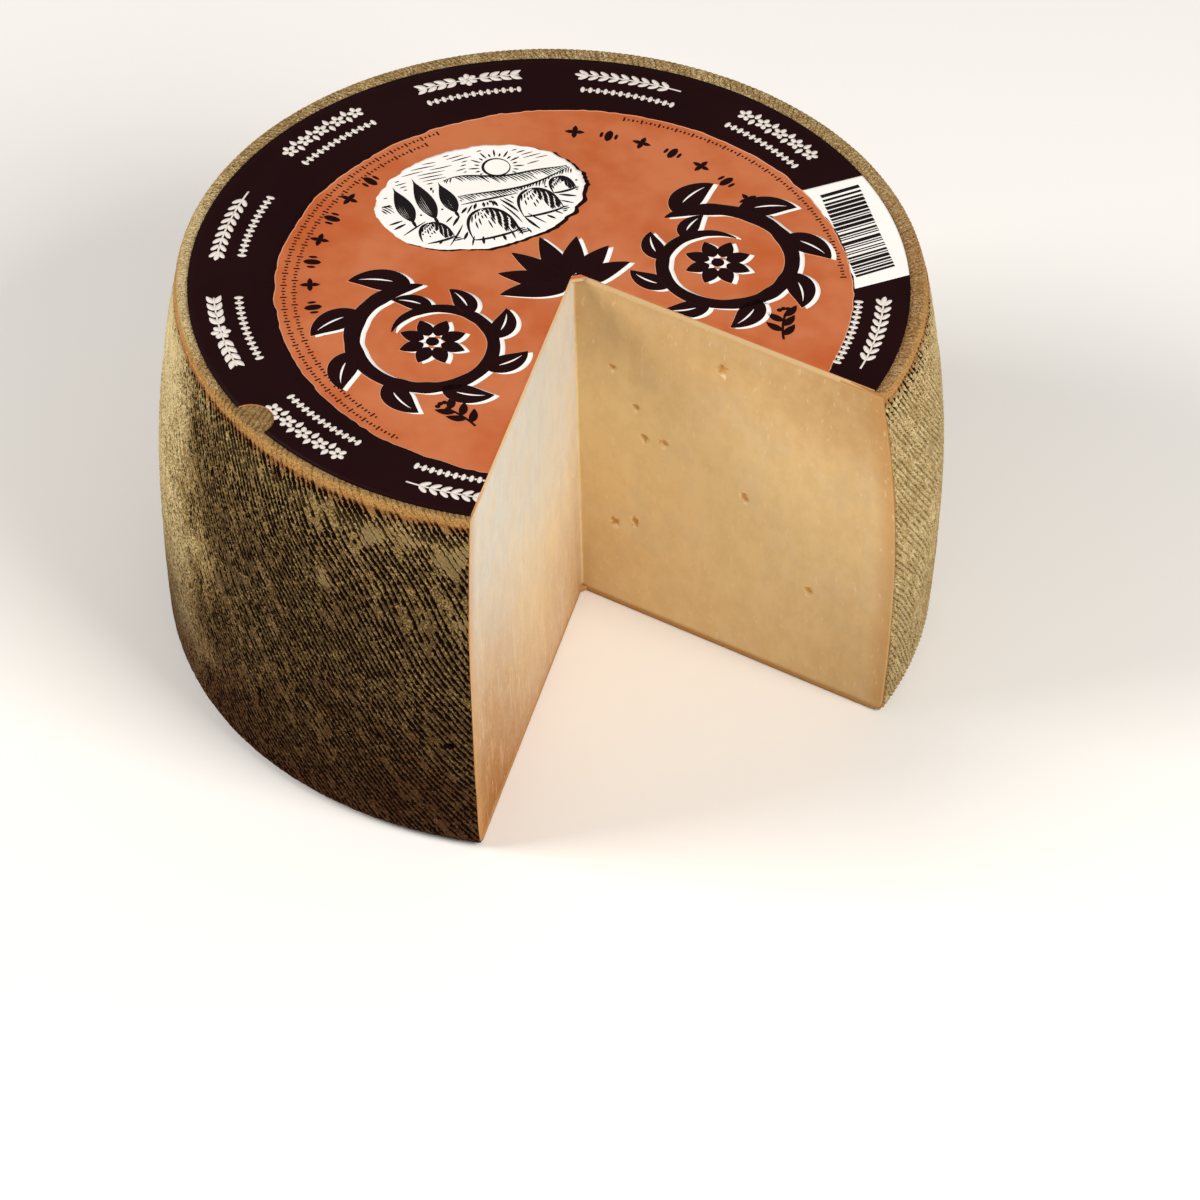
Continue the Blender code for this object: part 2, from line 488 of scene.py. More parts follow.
def colour(red: int, green: int, blue: int) -> Four:
    """Return a colour in linear light from its screen values of 0 to 255."""
    shares = (value / 255.0 for value in (red, green, blue))
    linear = [s / 12.92 if s <= 0.04045 else ((s + 0.055) / 1.055) ** 2.4 for s in shares]
    return (linear[0], linear[1], linear[2], 1.0)


def grain_group() -> bpy.types.NodeTree:
    """Return the group for soft mottling and fine grain, built once.

    Mottle blends noise of the coarse size with noise of a third of it. Grain is noise of the
    fine size, sharpened round its middle.
    """
    name = "mottle_and_grain"
    if name in bpy.data.node_groups:
        return bpy.data.node_groups[name]
    group = bpy.data.node_groups.new(name, "ShaderNodeTree")
    group.interface.new_socket("Place", in_out="INPUT", socket_type="NodeSocketVector")
    for label in ("Coarse Scale", "Fine Scale"):
        group.interface.new_socket(label, in_out="INPUT", socket_type="NodeSocketFloat")
    for label in ("Mottle", "Grain"):
        group.interface.new_socket(label, in_out="OUTPUT", socket_type="NodeSocketFloat")
    build = Shader(group)
    inlet = build.add("NodeGroupInput")
    outlet = build.add("NodeGroupOutput")
    layers = []
    for label, factor in (("Coarse Scale", 1.0), ("Coarse Scale", 3.1), ("Fine Scale", 1.0)):
        noise = build.add("ShaderNodeTexNoise")
        build.feed(noise.inputs["Vector"], inlet.outputs["Place"])
        build.feed(noise.inputs["Scale"], build.math("MULTIPLY", inlet.outputs[label], factor))
        noise.inputs["Detail"].default_value = 3.0
        layers.append(noise.outputs["Fac"])
    both = build.total(build.product(layers[0], 0.62), build.product(layers[1], 0.38))
    build.feed(outlet.inputs["Mottle"], build.spread(both, 0.33, 0.67))
    build.feed(outlet.inputs["Grain"], build.spread(layers[2], *NOISE_CORE))
    return group


def crease_group() -> bpy.types.NodeTree:
    """Return the group for the paper's soft creases and its fibres, built once.

    A crease is where coarse noise passes its middle value, so that it runs as a thin winding
    line. Height adds the creases, broad swells and fine fibres.
    """
    name, crease_size, swell_size, fibre_size = "paper_creases", 26.0 * MM, 15.0 * MM, 0.5 * MM
    if name in bpy.data.node_groups:
        return bpy.data.node_groups[name]
    group = bpy.data.node_groups.new(name, "ShaderNodeTree")
    group.interface.new_socket("Place", in_out="INPUT", socket_type="NodeSocketVector")
    group.interface.new_socket("Height", in_out="OUTPUT", socket_type="NodeSocketFloat")
    build = Shader(group)
    inlet = build.add("NodeGroupInput")
    outlet = build.add("NodeGroupOutput")
    place = inlet.outputs["Place"]
    coarse = build.noise(place, crease_size, 2.5, 0.55)
    distance = build.math("ABSOLUTE", build.math("SUBTRACT", coarse, 0.5))
    crease = build.product(build.spread(distance, 0.0, 0.03, 1.0, 0.0), 0.06)
    swell = build.noise(place, swell_size, 1.0)
    fibre = build.product(build.noise(place, fibre_size, 2.0), 0.035)
    build.feed(outlet.inputs["Height"], build.total(swell, crease, fibre))
    return group


@dataclass(frozen=True)
class RindFinish:
    """The pressed rind: grained khaki ridges, brown-black grooves and a golden crest.

    The colours pale, khaki and brown are a ridge's own as its tone rises. The sizes are those of
    noise: broad mottling, fine grain, knobs along the strokes and rusty spots. The raggedness
    says how far fibres, splinters and grain shift a groove's edge, as shares of half a pitch.
    """

    name: str = "rind_pressed"
    pale: Colour = (218, 197, 147)
    khaki: Colour = (161, 133, 82)
    # Painted highlight: the pale colour painted on one flank of each groove.
    painted_highlight: Colour = (176, 150, 102)
    brown: Colour = (84, 63, 38)
    groove: Colour = (24, 9, 1)
    patch: Colour = (132, 112, 76)
    band: Colour = (150, 117, 72)
    crest: Colour = (196, 149, 86)
    blush: Colour = (150, 94, 50)
    rust: Colour = (128, 74, 44)
    # Painted shade: the dark colour that the side leans to towards the foot.
    foot: Colour = (60, 25, 10)
    cut_edge: Colour = (170, 124, 74)
    under_label: Colour = (214, 184, 138)
    roughness: float = 0.62
    specular: float = 0.03
    relief: float = 0.42 * MM
    mottle_size: float = 13.0 * MM
    grain_size: float = 0.5 * MM
    knob_size: float = 1.0 * MM
    spot_size: float = 4.5 * MM
    ragged: tuple[float, float, float] = (0.18, 0.12, 0.11)
    # Where across each lane the painted highlight lies.
    highlight_place: float = 0.76

    def weave(self, shader: Shader, lane: Socket, width: float, length: float) -> Socket:
        """Return noise drawn out along the strokes, from 0 to 1.

        Args:
            shader: The material's nodes.
            lane: The way across the strokes, in pitches.
            width: How many features there are to a pitch.
            length: How many features there are to a millimetre along the strokes.

        Returns:
            The noise.
        """
        join = shader.add("ShaderNodeCombineXYZ")
        shader.feed(join.inputs[0], shader.product(lane, width))
        shader.feed(join.inputs[1], shader.product(shader.field("along"), length))
        return shader.spread(shader.noise(join.outputs[0], 1.0, 1.5, 0.55), *NOISE_CORE)

    def material(self) -> bpy.types.Material:
        """Build the material.

        The mesh gives each place its lane, counted across the strokes in pitches, and its way
        along them. A groove runs down the middle of each lane and is as wide as the cover value
        says, more or less by noise drawn out along the strokes, so that its edges are ragged and
        its ends taper. One flank beside it is painted pale, a painted highlight as if it caught
        the light. Ridges go from pale through khaki to brown by the tone value. They lean to rust
        in spots, to the foot's colour by the low value, a painted shade towards the foot, and to
        the blush, the band and the crest round the corner. Where the shell is cut, and under the
        label, the colour goes by depth instead. Bare places are calmer.
        """
        material, shader = new_material(self.name)
        place = shader.place()
        mottle, fine = shader.grain(place, self.mottle_size, self.grain_size)
        knob = shader.spread(shader.noise(place, self.knob_size, 1.0, 0.5), *NOISE_CORE)
        lane = shader.total(shader.field("lane"), shader.sway(knob, 0.09))
        fibre = self.weave(shader, shader.math("FLOOR", lane), 5.3, 0.5)
        splinter = self.weave(shader, lane, 3.6, 1.25)
        share = shader.math("FRACT", lane)
        beside = shader.math("ABSOLUTE", shader.math("SUBTRACT", share, 0.5))
        cover, bare, low, depth = (shader.field(name) for name in ("cover", "bare", "low", "depth"))
        calm = shader.spread(bare, 0.0, 1.0, 1.0, 0.4)
        uneven = shader.total(*map(shader.sway, (fibre, splinter, fine), self.ragged))
        level = shader.math("SUBTRACT", cover, shader.product(beside, 2.0))
        level = shader.total(level, shader.product(uneven, calm))
        cleft = shader.spread(level, -0.10, 0.16)
        grit = shader.total(shader.sway(splinter, 0.15), shader.sway(fine, -0.21))
        tone = shader.total(shader.field("tone"), shader.sway(mottle, 0.04), shader.product(grit, calm))
        body = shader.mix(shader.spread(tone, 0.0, 0.5), self.pale, self.khaki)
        body = shader.mix(shader.spread(tone, 0.42, 1.0), body, self.brown)
        body = shader.mix(shader.spread(bare, 0.5, 1.0, 0.0, 0.55), body, self.patch)
        spots = shader.spread(shader.noise(place, self.spot_size, 4.0, 0.75), 0.52, 0.70, 0.0, 0.8)
        rust = shader.product(spots, shader.spread(low, 0.0, 0.8, 0.2, 0.75))
        body = shader.mix(rust, body, self.rust)
        # Painted shade: darker towards the foot by the low value.
        body = shader.mix(shader.product(low, 0.78), body, self.foot)
        # Painted highlight: one flank of each groove is painted pale, as if lit.
        off_highlight = shader.math("ABSOLUTE", shader.math("SUBTRACT", share, self.highlight_place))
        painted_highlight = shader.product(
            shader.spread(off_highlight, 0.04, 0.16, 0.62, 0.0),
            shader.spread(cover, -0.1, 0.4),
            shader.spread(splinter, 0.2, 0.9, 1.0, 0.1),
            shader.spread(low, 0.2, 0.9, 1.0, 0.7),
        )
        body = shader.mix(painted_highlight, body, self.painted_highlight)
        body = shader.mix(shader.product(shader.field("blush"), 0.9), body, self.blush)
        shaded = shader.spread(tone, 0.0, 0.5, 0.85, 0.0)
        topping = shader.mix(shaded, self.band, self.pale)
        body = shader.mix(shader.field("band"), body, topping)
        crest = shader.product(shader.field("crest"), shader.spread(grit, -0.2, 0.25, 0.95, 0.4))
        body = shader.mix(crest, body, self.crest)
        body = shader.mix(shader.product(cleft, shader.field("stain")), body, self.groove)
        edge = shader.spread(depth, 0.15, 1.3)
        inside = shader.mix(edge, self.cut_edge, PasteFinish().rim)
        inside = shader.mix(shader.spread(depth, 1.4, 2.4), inside, self.under_label)
        is_cut = shader.spread(depth, 0.0, 0.06)
        shader.set("Base Color", shader.mix(is_cut, body, inside))
        rough = shader.spread(fine, 0.0, 1.0, self.roughness - 0.1, self.roughness + 0.12)
        shader.set("Roughness", rough)
        shader.set("Specular IOR Level", self.specular)
        height = shader.math("SUBTRACT", shader.product(knob, 0.35), shader.product(cleft, 0.9))
        height = shader.math("SUBTRACT", height, shader.product(splinter, 0.55))
        height = shader.total(height, shader.product(fine, 0.3))
        uncut = shader.spread(is_cut, 0.0, 1.0, 1.0, 0.0)
        height = shader.product(height, shader.product(calm, uncut))
        shader.set("Normal", shader.bump(height, 1.0, self.relief))
        return material


@dataclass(frozen=True)
class PasteFinish:
    """The inside of the cheese: pale cream, more golden near the rind and on the right face,
    partly its own gold and partly painted warm bounce light.

    The sizes are those of noise: broad mottling, fine grain, upright streaks, soft clouds, small
    flecks and the drawn-out flecks of the left face.
    """

    name: str = "paste_cut"
    cream: Colour = (204, 199, 187)
    gold: Colour = (230, 198, 143)
    rim: Colour = (190, 138, 78)
    # Painted shade and painted warm reflected light towards the foot.
    foot: Colour = (152, 95, 30)
    # Painted shade: the darker colour of the eyes' hollows.
    eye: Colour = (206, 152, 78)
    # Flecks, and the painted highlight below each eye.
    fleck_and_highlight: Colour = (240, 214, 172)
    roughness: float = 0.52
    specular: float = 0.12
    relief: float = 0.1 * MM
    glow: float = 0.12
    glow_reach: float = 3.0 * MM
    mottle_size: float = 21.0 * MM
    grain_size: float = 0.8 * MM
    streak_size: float = 3.2 * MM
    cloud_size: float = 5.0 * MM
    fleck_size: float = 1.1 * MM
    silk_size: float = 1.2 * MM

    def material(self) -> bpy.types.Material:
        """Build the material.

        Cream and gold mix by each face's gold share, partly the paste's own colour and partly a
        painted warm bounce of light, and by upright streaks. The foot's tone comes in by the foot
        value: painted shade and painted warm reflected light near the foot, and on the right face
        also browner at its top and outer edge. The rim's comes in over the outermost millimetres by
        depth. Eyes are painted darker, a painted shade in their hollows. Flecks are lighter, and so
        is a patch below each eye, a painted highlight on its lower lip.
        """
        material, shader = new_material(self.name)
        mottle, fine = shader.grain(shader.place(), self.mottle_size, self.grain_size)
        streak = shader.noise(shader.place((1.0, 1.0, 0.05)), self.streak_size, 3.0, 0.6)
        # Gold share: partly the paste's own gold, partly painted warm light bounced between the cut
        # faces.
        gold_and_warm_bounce = shader.total(shader.field("gold_and_warm_bounce"), shader.spread(streak, 0.35, 0.65, -0.03, 0.03))
        gold_and_warm_bounce = shader.total(gold_and_warm_bounce, shader.sway(mottle, 0.10))
        cloud = shader.noise(shader.place((1.0, 1.0, 0.7)), self.cloud_size, 3.0, 0.7)
        body = shader.mix(gold_and_warm_bounce, self.cream, self.gold)
        # Painted shade: browner by the foot value, near the foot with painted warm reflected light, and
        # on the right face also at its top and outer edge.
        foot = shader.total(shader.field("foot"), shader.spread(cloud, *NOISE_CORE, -0.04, 0.08))
        body = shader.mix(foot, body, self.foot)
        near_rind = shader.spread(shader.field("depth"), 1.3, 8.0, 0.6, 0.0)
        body = shader.mix(near_rind, body, self.rim)
        flecks = shader.noise(shader.place((1.0, 1.0, 0.4)), self.fleck_size, 1.0)
        flecks = shader.spread(flecks, 0.66, 0.76, 0.0, 0.3)
        silk = shader.noise(shader.place((1.0, 1.0, 0.09)), self.silk_size, 1.5)
        silk = shader.product(shader.spread(silk, 0.54, 0.74, 0.0, 0.19), shader.field("silk"))
        eye = shader.field("eye")
        flecks = shader.math("MAXIMUM", flecks, silk)
        # Painted highlight: a pale patch below each eye, where its lower lip would catch the light.
        flecks = shader.math("MAXIMUM", flecks, shader.spread(eye, -1.0, 0.0, 0.75, 0.0))
        body = shader.mix(flecks, body, self.fleck_and_highlight)
        # Painted shade: the eyes are painted darker in their hollows.
        body = shader.mix(shader.spread(eye, 0.0, 1.0, 0.0, 0.8), body, self.eye)
        shader.set("Base Color", body)
        rough = shader.spread(fine, 0.0, 1.0, self.roughness - 0.06, self.roughness + 0.08)
        shader.set("Roughness", rough)
        shader.set("Specular IOR Level", self.specular)
        shader.set("Subsurface Weight", self.glow)
        shader.set("Subsurface Radius", (1.0, 0.6, 0.3))
        shader.set("Subsurface Scale", self.glow_reach)
        height = shader.total(shader.product(streak, 0.3), shader.product(fine, 0.35))
        shader.set("Normal", shader.bump(height, 0.3, self.relief))
        return material


@dataclass(frozen=True)
class InkFinish:
    """Print or bare paper: one ink, with the paper's mottling, creases and slight gloss.

    Attributes:
        name: The material's name.
        ink: The ink's colour.
        shade: The colour that mottling leans to.
        mottling: How much of the shade mottling brings in.
        roughness: The paper's roughness under this ink.
        edge: The colour of the sheet's cut edge, below the ink.
        specular: The ink's gloss.
        relief: How far the paper's swells and creases stand out.
        mottle_size: Size of the mottling.
        grain_size: Size of the paper's grain.
    """

    name: str
    ink: Colour
    shade: Colour
    mottling: float = 0.5
    roughness: float = 0.5
    edge: Colour = (206, 166, 116)
    specular: float = 0.05
    relief: float = 0.8 * MM
    mottle_size: float = 24.0 * MM
    grain_size: float = 0.6 * MM

    def material(self) -> bpy.types.Material:
        """Build the material: the ink leans to its shade by mottling, above the bare cut edge."""
        material, shader = new_material(self.name)
        place = shader.place()
        mottle, grain = shader.grain(place, self.mottle_size, self.grain_size)
        height = shader.use(crease_group(), {"Place": place}).outputs["Height"]
        share = shader.product(mottle, self.mottling)
        body = shader.mix(share, self.ink, self.shade)
        below = shader.spread(shader.field("below"), 0.25, 0.35)
        shader.set("Base Color", shader.mix(below, body, self.edge))
        low, high = self.roughness - 0.05, self.roughness + 0.08
        shader.set("Roughness", shader.spread(grain, 0.0, 1.0, low, high))
        shader.set("Specular IOR Level", self.specular)
        shader.set("Normal", shader.bump(height, 0.5, self.relief))
        return material


@dataclass(frozen=True)
class FloorFinish:
    """The pale studio floor."""

    name: str = "studio_floor"
    tint: Colour = (250, 247, 243)
    paler: Colour = (254, 252, 250)
    patch_size: float = 0.3
    roughness: float = 0.75
    specular: float = 0.2

    def material(self) -> bpy.types.Material:
        """Build a plain matt material with a faint variation."""
        material, shader = new_material(self.name)
        share = shader.noise(shader.place(), self.patch_size, 2.0)
        share = shader.spread(share, *NOISE_CORE, 0.0, 0.12)
        body = shader.mix(share, self.tint, self.paler)
        shader.set("Base Color", body)
        shader.set("Roughness", self.roughness)
        shader.set("Specular IOR Level", self.specular)
        return material


@dataclass
class PressedRind:
    """The rind's side with the strokes that the mould pressed into it.

    The strokes run down to the right as seen from outside. Places on the rind are given by s,
    the way round from the right cut, and w, the way along the profile from the shell's inner
    edge on the top, over the corner and down to the foot. Each edge is where a region fades
    into the next: from one angle about the wheel to another, in degrees, or from one w to
    another. Patches and pits are ovals, each an angle, a w, a half length and a half height.
    """

    form: WheelForm
    finish: RindFinish
    sectors: int = 4
    columns: int = 1420
    row_step: float = 0.50 * MM
    inner_edge: float = 79.0 * MM
    fine_from: float = 81.0 * MM
    covered_to: float = 81.6 * MM
    covered_depth: float = 2.6
    slope: float = 56.0 * DEGREE
    pitch: float = 1.42 * MM
    groove_depth: float = 0.50 * MM
    segment: float = 6.0 * MM
    fine_segment: float = 1.5 * MM
    bead_length: float = 1.1 * MM
    inset: float = 0.15 * MM
    right_edge: Place = (-20.0, 40.0)
    left_edge: Place = (112.0, 150.0)
    front_edge: Place = (175.0, 189.0)
    smoother_edge: Place = (166.0, 178.0)
    smoother_depth: Place = (30.0 * MM, 52.0 * MM)
    # Painted shade: the front darkens further from the first w to the second.
    painted_shade_depth: Place = (12.0 * MM, 48.0 * MM)
    patches: tuple[Four, ...] = (
        (218.2, 22.5, 3.6, 3.8),
        (223.8, 19.6, 5.4, 3.2),
        (231.2, 22.6, 5.6, 3.8),
        (232.6, 41.0, 4.4, 3.0),
        (211.0, 40.0, 3.0, 2.4),
        (60.0, 30.0, 9.0, 5.0),
        (121.0, 52.0, 7.0, 5.0),
        (-40.0, 46.0, 4.0, 3.0),
    )
    pits: tuple[Four, ...] = (
        (229.9, 80.9, 1.3, 0.9),
        (219.4, 83.0, 0.7, 0.9),
        (180.4, 53.0, 0.5, 3.2),
        (197.5, 90.0, 0.6, 1.6),
        (76.0, 66.0, 1.1, 0.8),
        (15.0, 40.0, 0.8, 0.8),
    )

    def profile(self) -> tuple[Array, Array]:
        """Return the outer profile and the inner one.

        Outer: the flat top, a quarter circle, the bulging side, a quarter circle and the flat
        foot. Inner: the side's outline less the rind's thickness, from the foot back to the top.

        Returns:
            Two arrays with a row of radius and height for each point.
        """
        form = self.form
        top = np.arange(self.fine_from, form.top_flat, self.row_step)
        top = np.concatenate(([self.inner_edge], top))
        parts = [np.column_stack((top, np.full(len(top), form.height)))]
        turn = np.linspace(QUARTER, 0.0, 6)[:-1]
        middle = form.height - form.top_rounding
        parts.append(arc((form.top_flat, middle), form.top_rounding, turn))
        rows = round((middle - form.foot_rounding) / self.row_step)
        z = np.linspace(middle, form.foot_rounding, rows)
        parts.append(np.column_stack((form.bulge(z), z)))
        turn = np.linspace(0.0, -QUARTER, 11)[1:]
        parts.append(arc((form.foot_flat, form.foot_rounding), form.foot_rounding, turn))
        foot = np.linspace(form.foot_flat, self.inner_edge, 7)[1:]
        parts.append(np.column_stack((foot, np.zeros(len(foot)))))
        thick = form.rind_thickness
        low = np.array([thick, 2.0 * thick, 3.2 * thick])
        levels = np.concatenate((low, np.linspace(5.0 * thick, form.height - thick, 11)))
        inner = np.column_stack((form.outline(levels) - thick, levels))
        ends = np.array([[self.inner_edge, thick], [self.inner_edge, form.height - thick]])
        return np.concatenate(parts), np.concatenate((ends[:1], inner, ends[1:]))

    def spots(self, places: Iterable[Four], s: Array, w: Array, rough: Array) -> Array:
        """Return 1 in oval spots on the side and 0 beyond them.

        Args:
            places: Angle in degrees, way along the profile, half length and half height in mm.
            s: The way round.
            w: The way along the profile.
            rough: How far each place is shifted out of the spot, as a share of its half sizes.

        Returns:
            The spots' common mask.
        """
        mask = np.zeros(np.broadcast(s, w).shape)
        start = self.form.gap_half_angle - QUARTER
        for angle, level, half_length, half_height in places:
            x = (s - (angle * DEGREE - start) * self.form.bulge_radius) / (half_length * MM)
            y = (w - level * MM) / (half_height * MM)
            mask = np.maximum(mask, 1.0 - smooth_step(np.hypot(x, y) + rough, 0.6, 1.25))
        return mask

    def bare_patches(self, s: Array, w: Array) -> Array:
        """Return how far a place lies in a smooth patch, chosen or scattered, with uneven edges.

        Args:
            s: The way round.
            w: The way along the profile.

        Returns:
            The patches' mask.
        """
        warp = SmoothNoise(15)
        rough = 0.7 * warp.over(s, w, 5.0, 3.6)
        rough = rough + 0.35 * warp.over(s, w, 1.6, 1.3, 70.0)
        scattered = warp.at(s / (15.0 * MM) + 20.0, w / (7.0 * MM) + 5.0) + 0.35 * rough
        scattered = 0.5 * smooth_step(scattered, 0.75, 0.95)
        return np.maximum(scattered, self.spots(self.patches, s, w, rough))

    def sides(self, s: Array, w: Array) -> tuple[Array, ...]:
        """Return how far a place belongs to four regions of the rind.

        They are the fair right side, the pale left side, its smoother top and the dark front.
        Each is a soft window on the angle about the wheel. Slow noise makes the border between
        the left side and the front wander.

        Args:
            s: The way round.
            w: The way along the profile.

        Returns:
            The masks of the right side, the left side, its smoother top and the front.
        """
        angle = (s / self.form.bulge_radius - QUARTER + self.form.gap_half_angle) / DEGREE
        wander = SmoothNoise(37)
        shift = 5.0 * wander.over(s, w, 15.0, 12.0)
        shift = shift + 2.5 * wander.over(s, w, 4.0, 7.0, 9.0)
        front = smooth_step(angle + shift, *self.front_edge)
        pale = smooth_step(angle, *self.left_edge) * (1.0 - front)
        upper = 1.0 - smooth_step(w, *self.smoother_depth)
        top_left = pale * upper * (1.0 - smooth_step(angle, *self.smoother_edge))
        return 1.0 - smooth_step(angle, *self.right_edge), pale, top_left, front

    def strokes(self, s: Array, w: Array) -> Fields:
        """Return the pressed pattern at places of the rind.

        A place's way across the strokes is s * sin(slope) - w * cos(slope), and its way along
        them is s * cos(slope) + w * sin(slope). Slow noise bends the lanes a little. The way
        across is cut into lanes of one pitch with a groove down the middle of each. Noise along
        a lane breaks its groove into dashes, and slow noise makes the dashes longer or rarer
        from one region to another.

        Args:
            s: The way round.
            w: The way along the profile.

        Returns:
            The fields lane, along, cover, tone, stain, bare and relief, relief as a share of
            the groove's depth.
        """
        bend, pulse, tones, regions = (SmoothNoise(seed) for seed in (11, 12, 13, 14))
        beads, wear = SmoothNoise(16), SmoothNoise(17)
        drift = 2.4 * MM * bend.over(s, w, 34.0, 30.0)
        drift = drift + 0.30 * MM * bend.at(s / (7.0 * MM) + 40.0, w / (7.0 * MM))
        across = s * math.sin(self.slope) - w * math.cos(self.slope) + drift
        along = s * math.cos(self.slope) + w * math.sin(self.slope)
        lane = across / self.pitch
        number = np.floor(lane)
        from_middle = np.abs(lane - number - 0.5) * 2.0
        start = number * 0.37
        dash = 0.66 * pulse.at(along / self.segment + start, number)
        dash = dash + 0.34 * pulse.at(along / self.fine_segment + start, number + 90.0)
        fair, pale, top_left, front = self.sides(s, w)
        sparse = 0.42 * regions.over(s, w, 30.0, 22.0, 3.0)
        sparse = sparse + 1.2 * top_left + 0.2 * pale - 0.3 * fair
        strength = smooth_step(dash - 0.26 * sparse, -0.90, -0.18)
        pits = self.spots(self.pits, s, w, 0.3 * wear.over(s, w, 0.8, 0.8))
        bare = self.bare_patches(s, w)
        span = 0.84 + 0.17 * front - 0.06 * pale - 0.14 * fair
        cover = -0.44 + strength * span - 0.38 * bare - 0.16 * top_left + 1.6 * pits
        groove = (1.0 - smooth_step(from_middle, 0.05, 0.75)) * strength * (1.0 - bare)
        crown = 0.2 * beads.at(along / self.bead_length, number * 1.7) * (1.0 - bare)
        tone = 0.38 - 0.15 * pale - 0.14 * top_left - 0.09 * fair
        # The front's own darker tone, deepened down the profile by painted shade.
        tone = tone + front * (0.20 + 0.30 * smooth_step(w, *self.painted_shade_depth))
        tone = tone + 0.12 * tones.at(along / (3.0 * MM), number)
        tone = tone + 0.03 * wear.over(s, w, 9.0, 6.0)
        tone = tone + 0.04 * regions.over(s, w, 21.0, 16.0)
        under_crest = 1.0 - smooth_step(w, 18.0 * MM, 25.0 * MM)
        stain = 0.60 + 0.40 * front + 0.20 * pale - 0.12 * fair + 0.5 * pits
        stain = stain + under_crest * (0.35 - 0.55 * front)
        return {
            "lane": lane,
            "along": along / MM,
            "cover": cover,
            "tone": tone,
            "stain": stain,
            "bare": np.maximum(bare, 0.45 * fair),
            "relief": crown - groove - 1.6 * pits,
        }

    def corner(self, s: Array, from_corner: Array) -> tuple[Array, ...]:
        """Return how far a place belongs to five zones round the top corner.

        They are the golden crest on the corner, the warm blush just below it, the band on the
        top inside it, the smooth zone that the strokes don't reach, and the comb of closer
        strokes below that. Noise round the wheel makes their borders ragged.

        Args:
            s: The way round.
            from_corner: The way down the profile from the corner.

        Returns:
            The masks crest, blush, band, smooth and comb.
        """
        ragged = SmoothNoise(19)
        shift = 0.35 * MM * ragged.at(s / (1.1 * MM), 0.5)
        shift = shift + 0.35 * MM * ragged.at(s / (6.0 * MM), 9.5)
        crest = 1.0 - smooth_step(np.abs(from_corner - 0.6 * MM + 0.6 * shift), 0.7 * MM, 1.6 * MM)
        blush = (1.0 - smooth_step(from_corner + shift, 1.6 * MM, 5.0 * MM)) * (from_corner > 0.0)
        band = 1.0 - smooth_step(from_corner + 0.5 * shift, -1.0 * MM, 0.2 * MM)
        smooth = 1.0 - smooth_step(from_corner + shift, 1.7 * MM, 2.6 * MM)
        comb = (1.0 - smooth) * (1.0 - smooth_step(from_corner, 4.5 * MM, 8.5 * MM))
        return crest, blush, band, smooth, comb

    def grid(self) -> tuple[Array, Fields]:
        """Work out the whole shell as a grid of columns round the wheel and rows along it.

        A point of the outer profile is moved along its normal by the strokes' relief and out
        from the axis by the hand marks. Its angle is then a share of the way from the right cut
        to the left cut at that radius and height, so both ends lie in the cut's planes.

        Returns:
            The points and their fields.
        """
        form = self.form
        outer, inner = self.profile()
        tangent = np.gradient(outer, axis=0)
        tangent /= np.hypot(tangent[:, 0], tangent[:, 1])[:, None]
        normal = np.column_stack((-tangent[:, 1], tangent[:, 0]))
        way = np.concatenate(([0.0], np.cumsum(np.hypot(*np.diff(outer, axis=0).T))))
        share = np.linspace(0.0, 1.0, self.columns + 1)[:, None]
        round_angle = 2.0 * (math.pi - form.gap_half_angle)
        s = share * round_angle * form.bulge_radius
        marks = self.strokes(s, way[None, :])
        radius, z = outer[None, :, 0], outer[None, :, 1]
        on_side = np.minimum(z / form.foot_rounding, (form.height - z) / (3.0 * form.top_rounding))
        on_side = np.clip(on_side, 0.0, 1.0)
        corner_at = way[np.argmin(np.abs(outer[:, 0] - form.top_flat) + form.height - outer[:, 1])]
        from_corner = way[None, :] - corner_at - 1.2 * MM
        crest, blush, band, smooth, comb = self.corner(s, from_corner)
        hidden = (radius <= self.fine_from) | ((z <= 0.0) & (radius < form.foot_flat))
        press = np.where(hidden, 0.0, 1.0 - 0.7 * smooth)
        move = marks["relief"] * self.groove_depth * press - self.inset * (on_side > 0.0)
        angle = -QUARTER + form.gap_half_angle + share * round_angle
        waves = form.hand_marks(angle, z) * on_side
        out_r = radius + move * normal[None, :, 0] + waves
        out_z = np.clip(z + move * normal[None, :, 1], 0.0, form.height)
        plain = np.zeros((len(share), len(inner)))
        r = np.concatenate((out_r, plain + inner[:, 0]), axis=1)
        h = np.concatenate((out_z, plain + inner[:, 1]), axis=1)
        right, left = form.cut_angle(Side.RIGHT, r, h), form.cut_angle(Side.LEFT, r, h)
        angle = right + share * (left - right)
        points = np.stack((r * np.cos(angle), r * np.sin(angle), h), axis=-1)
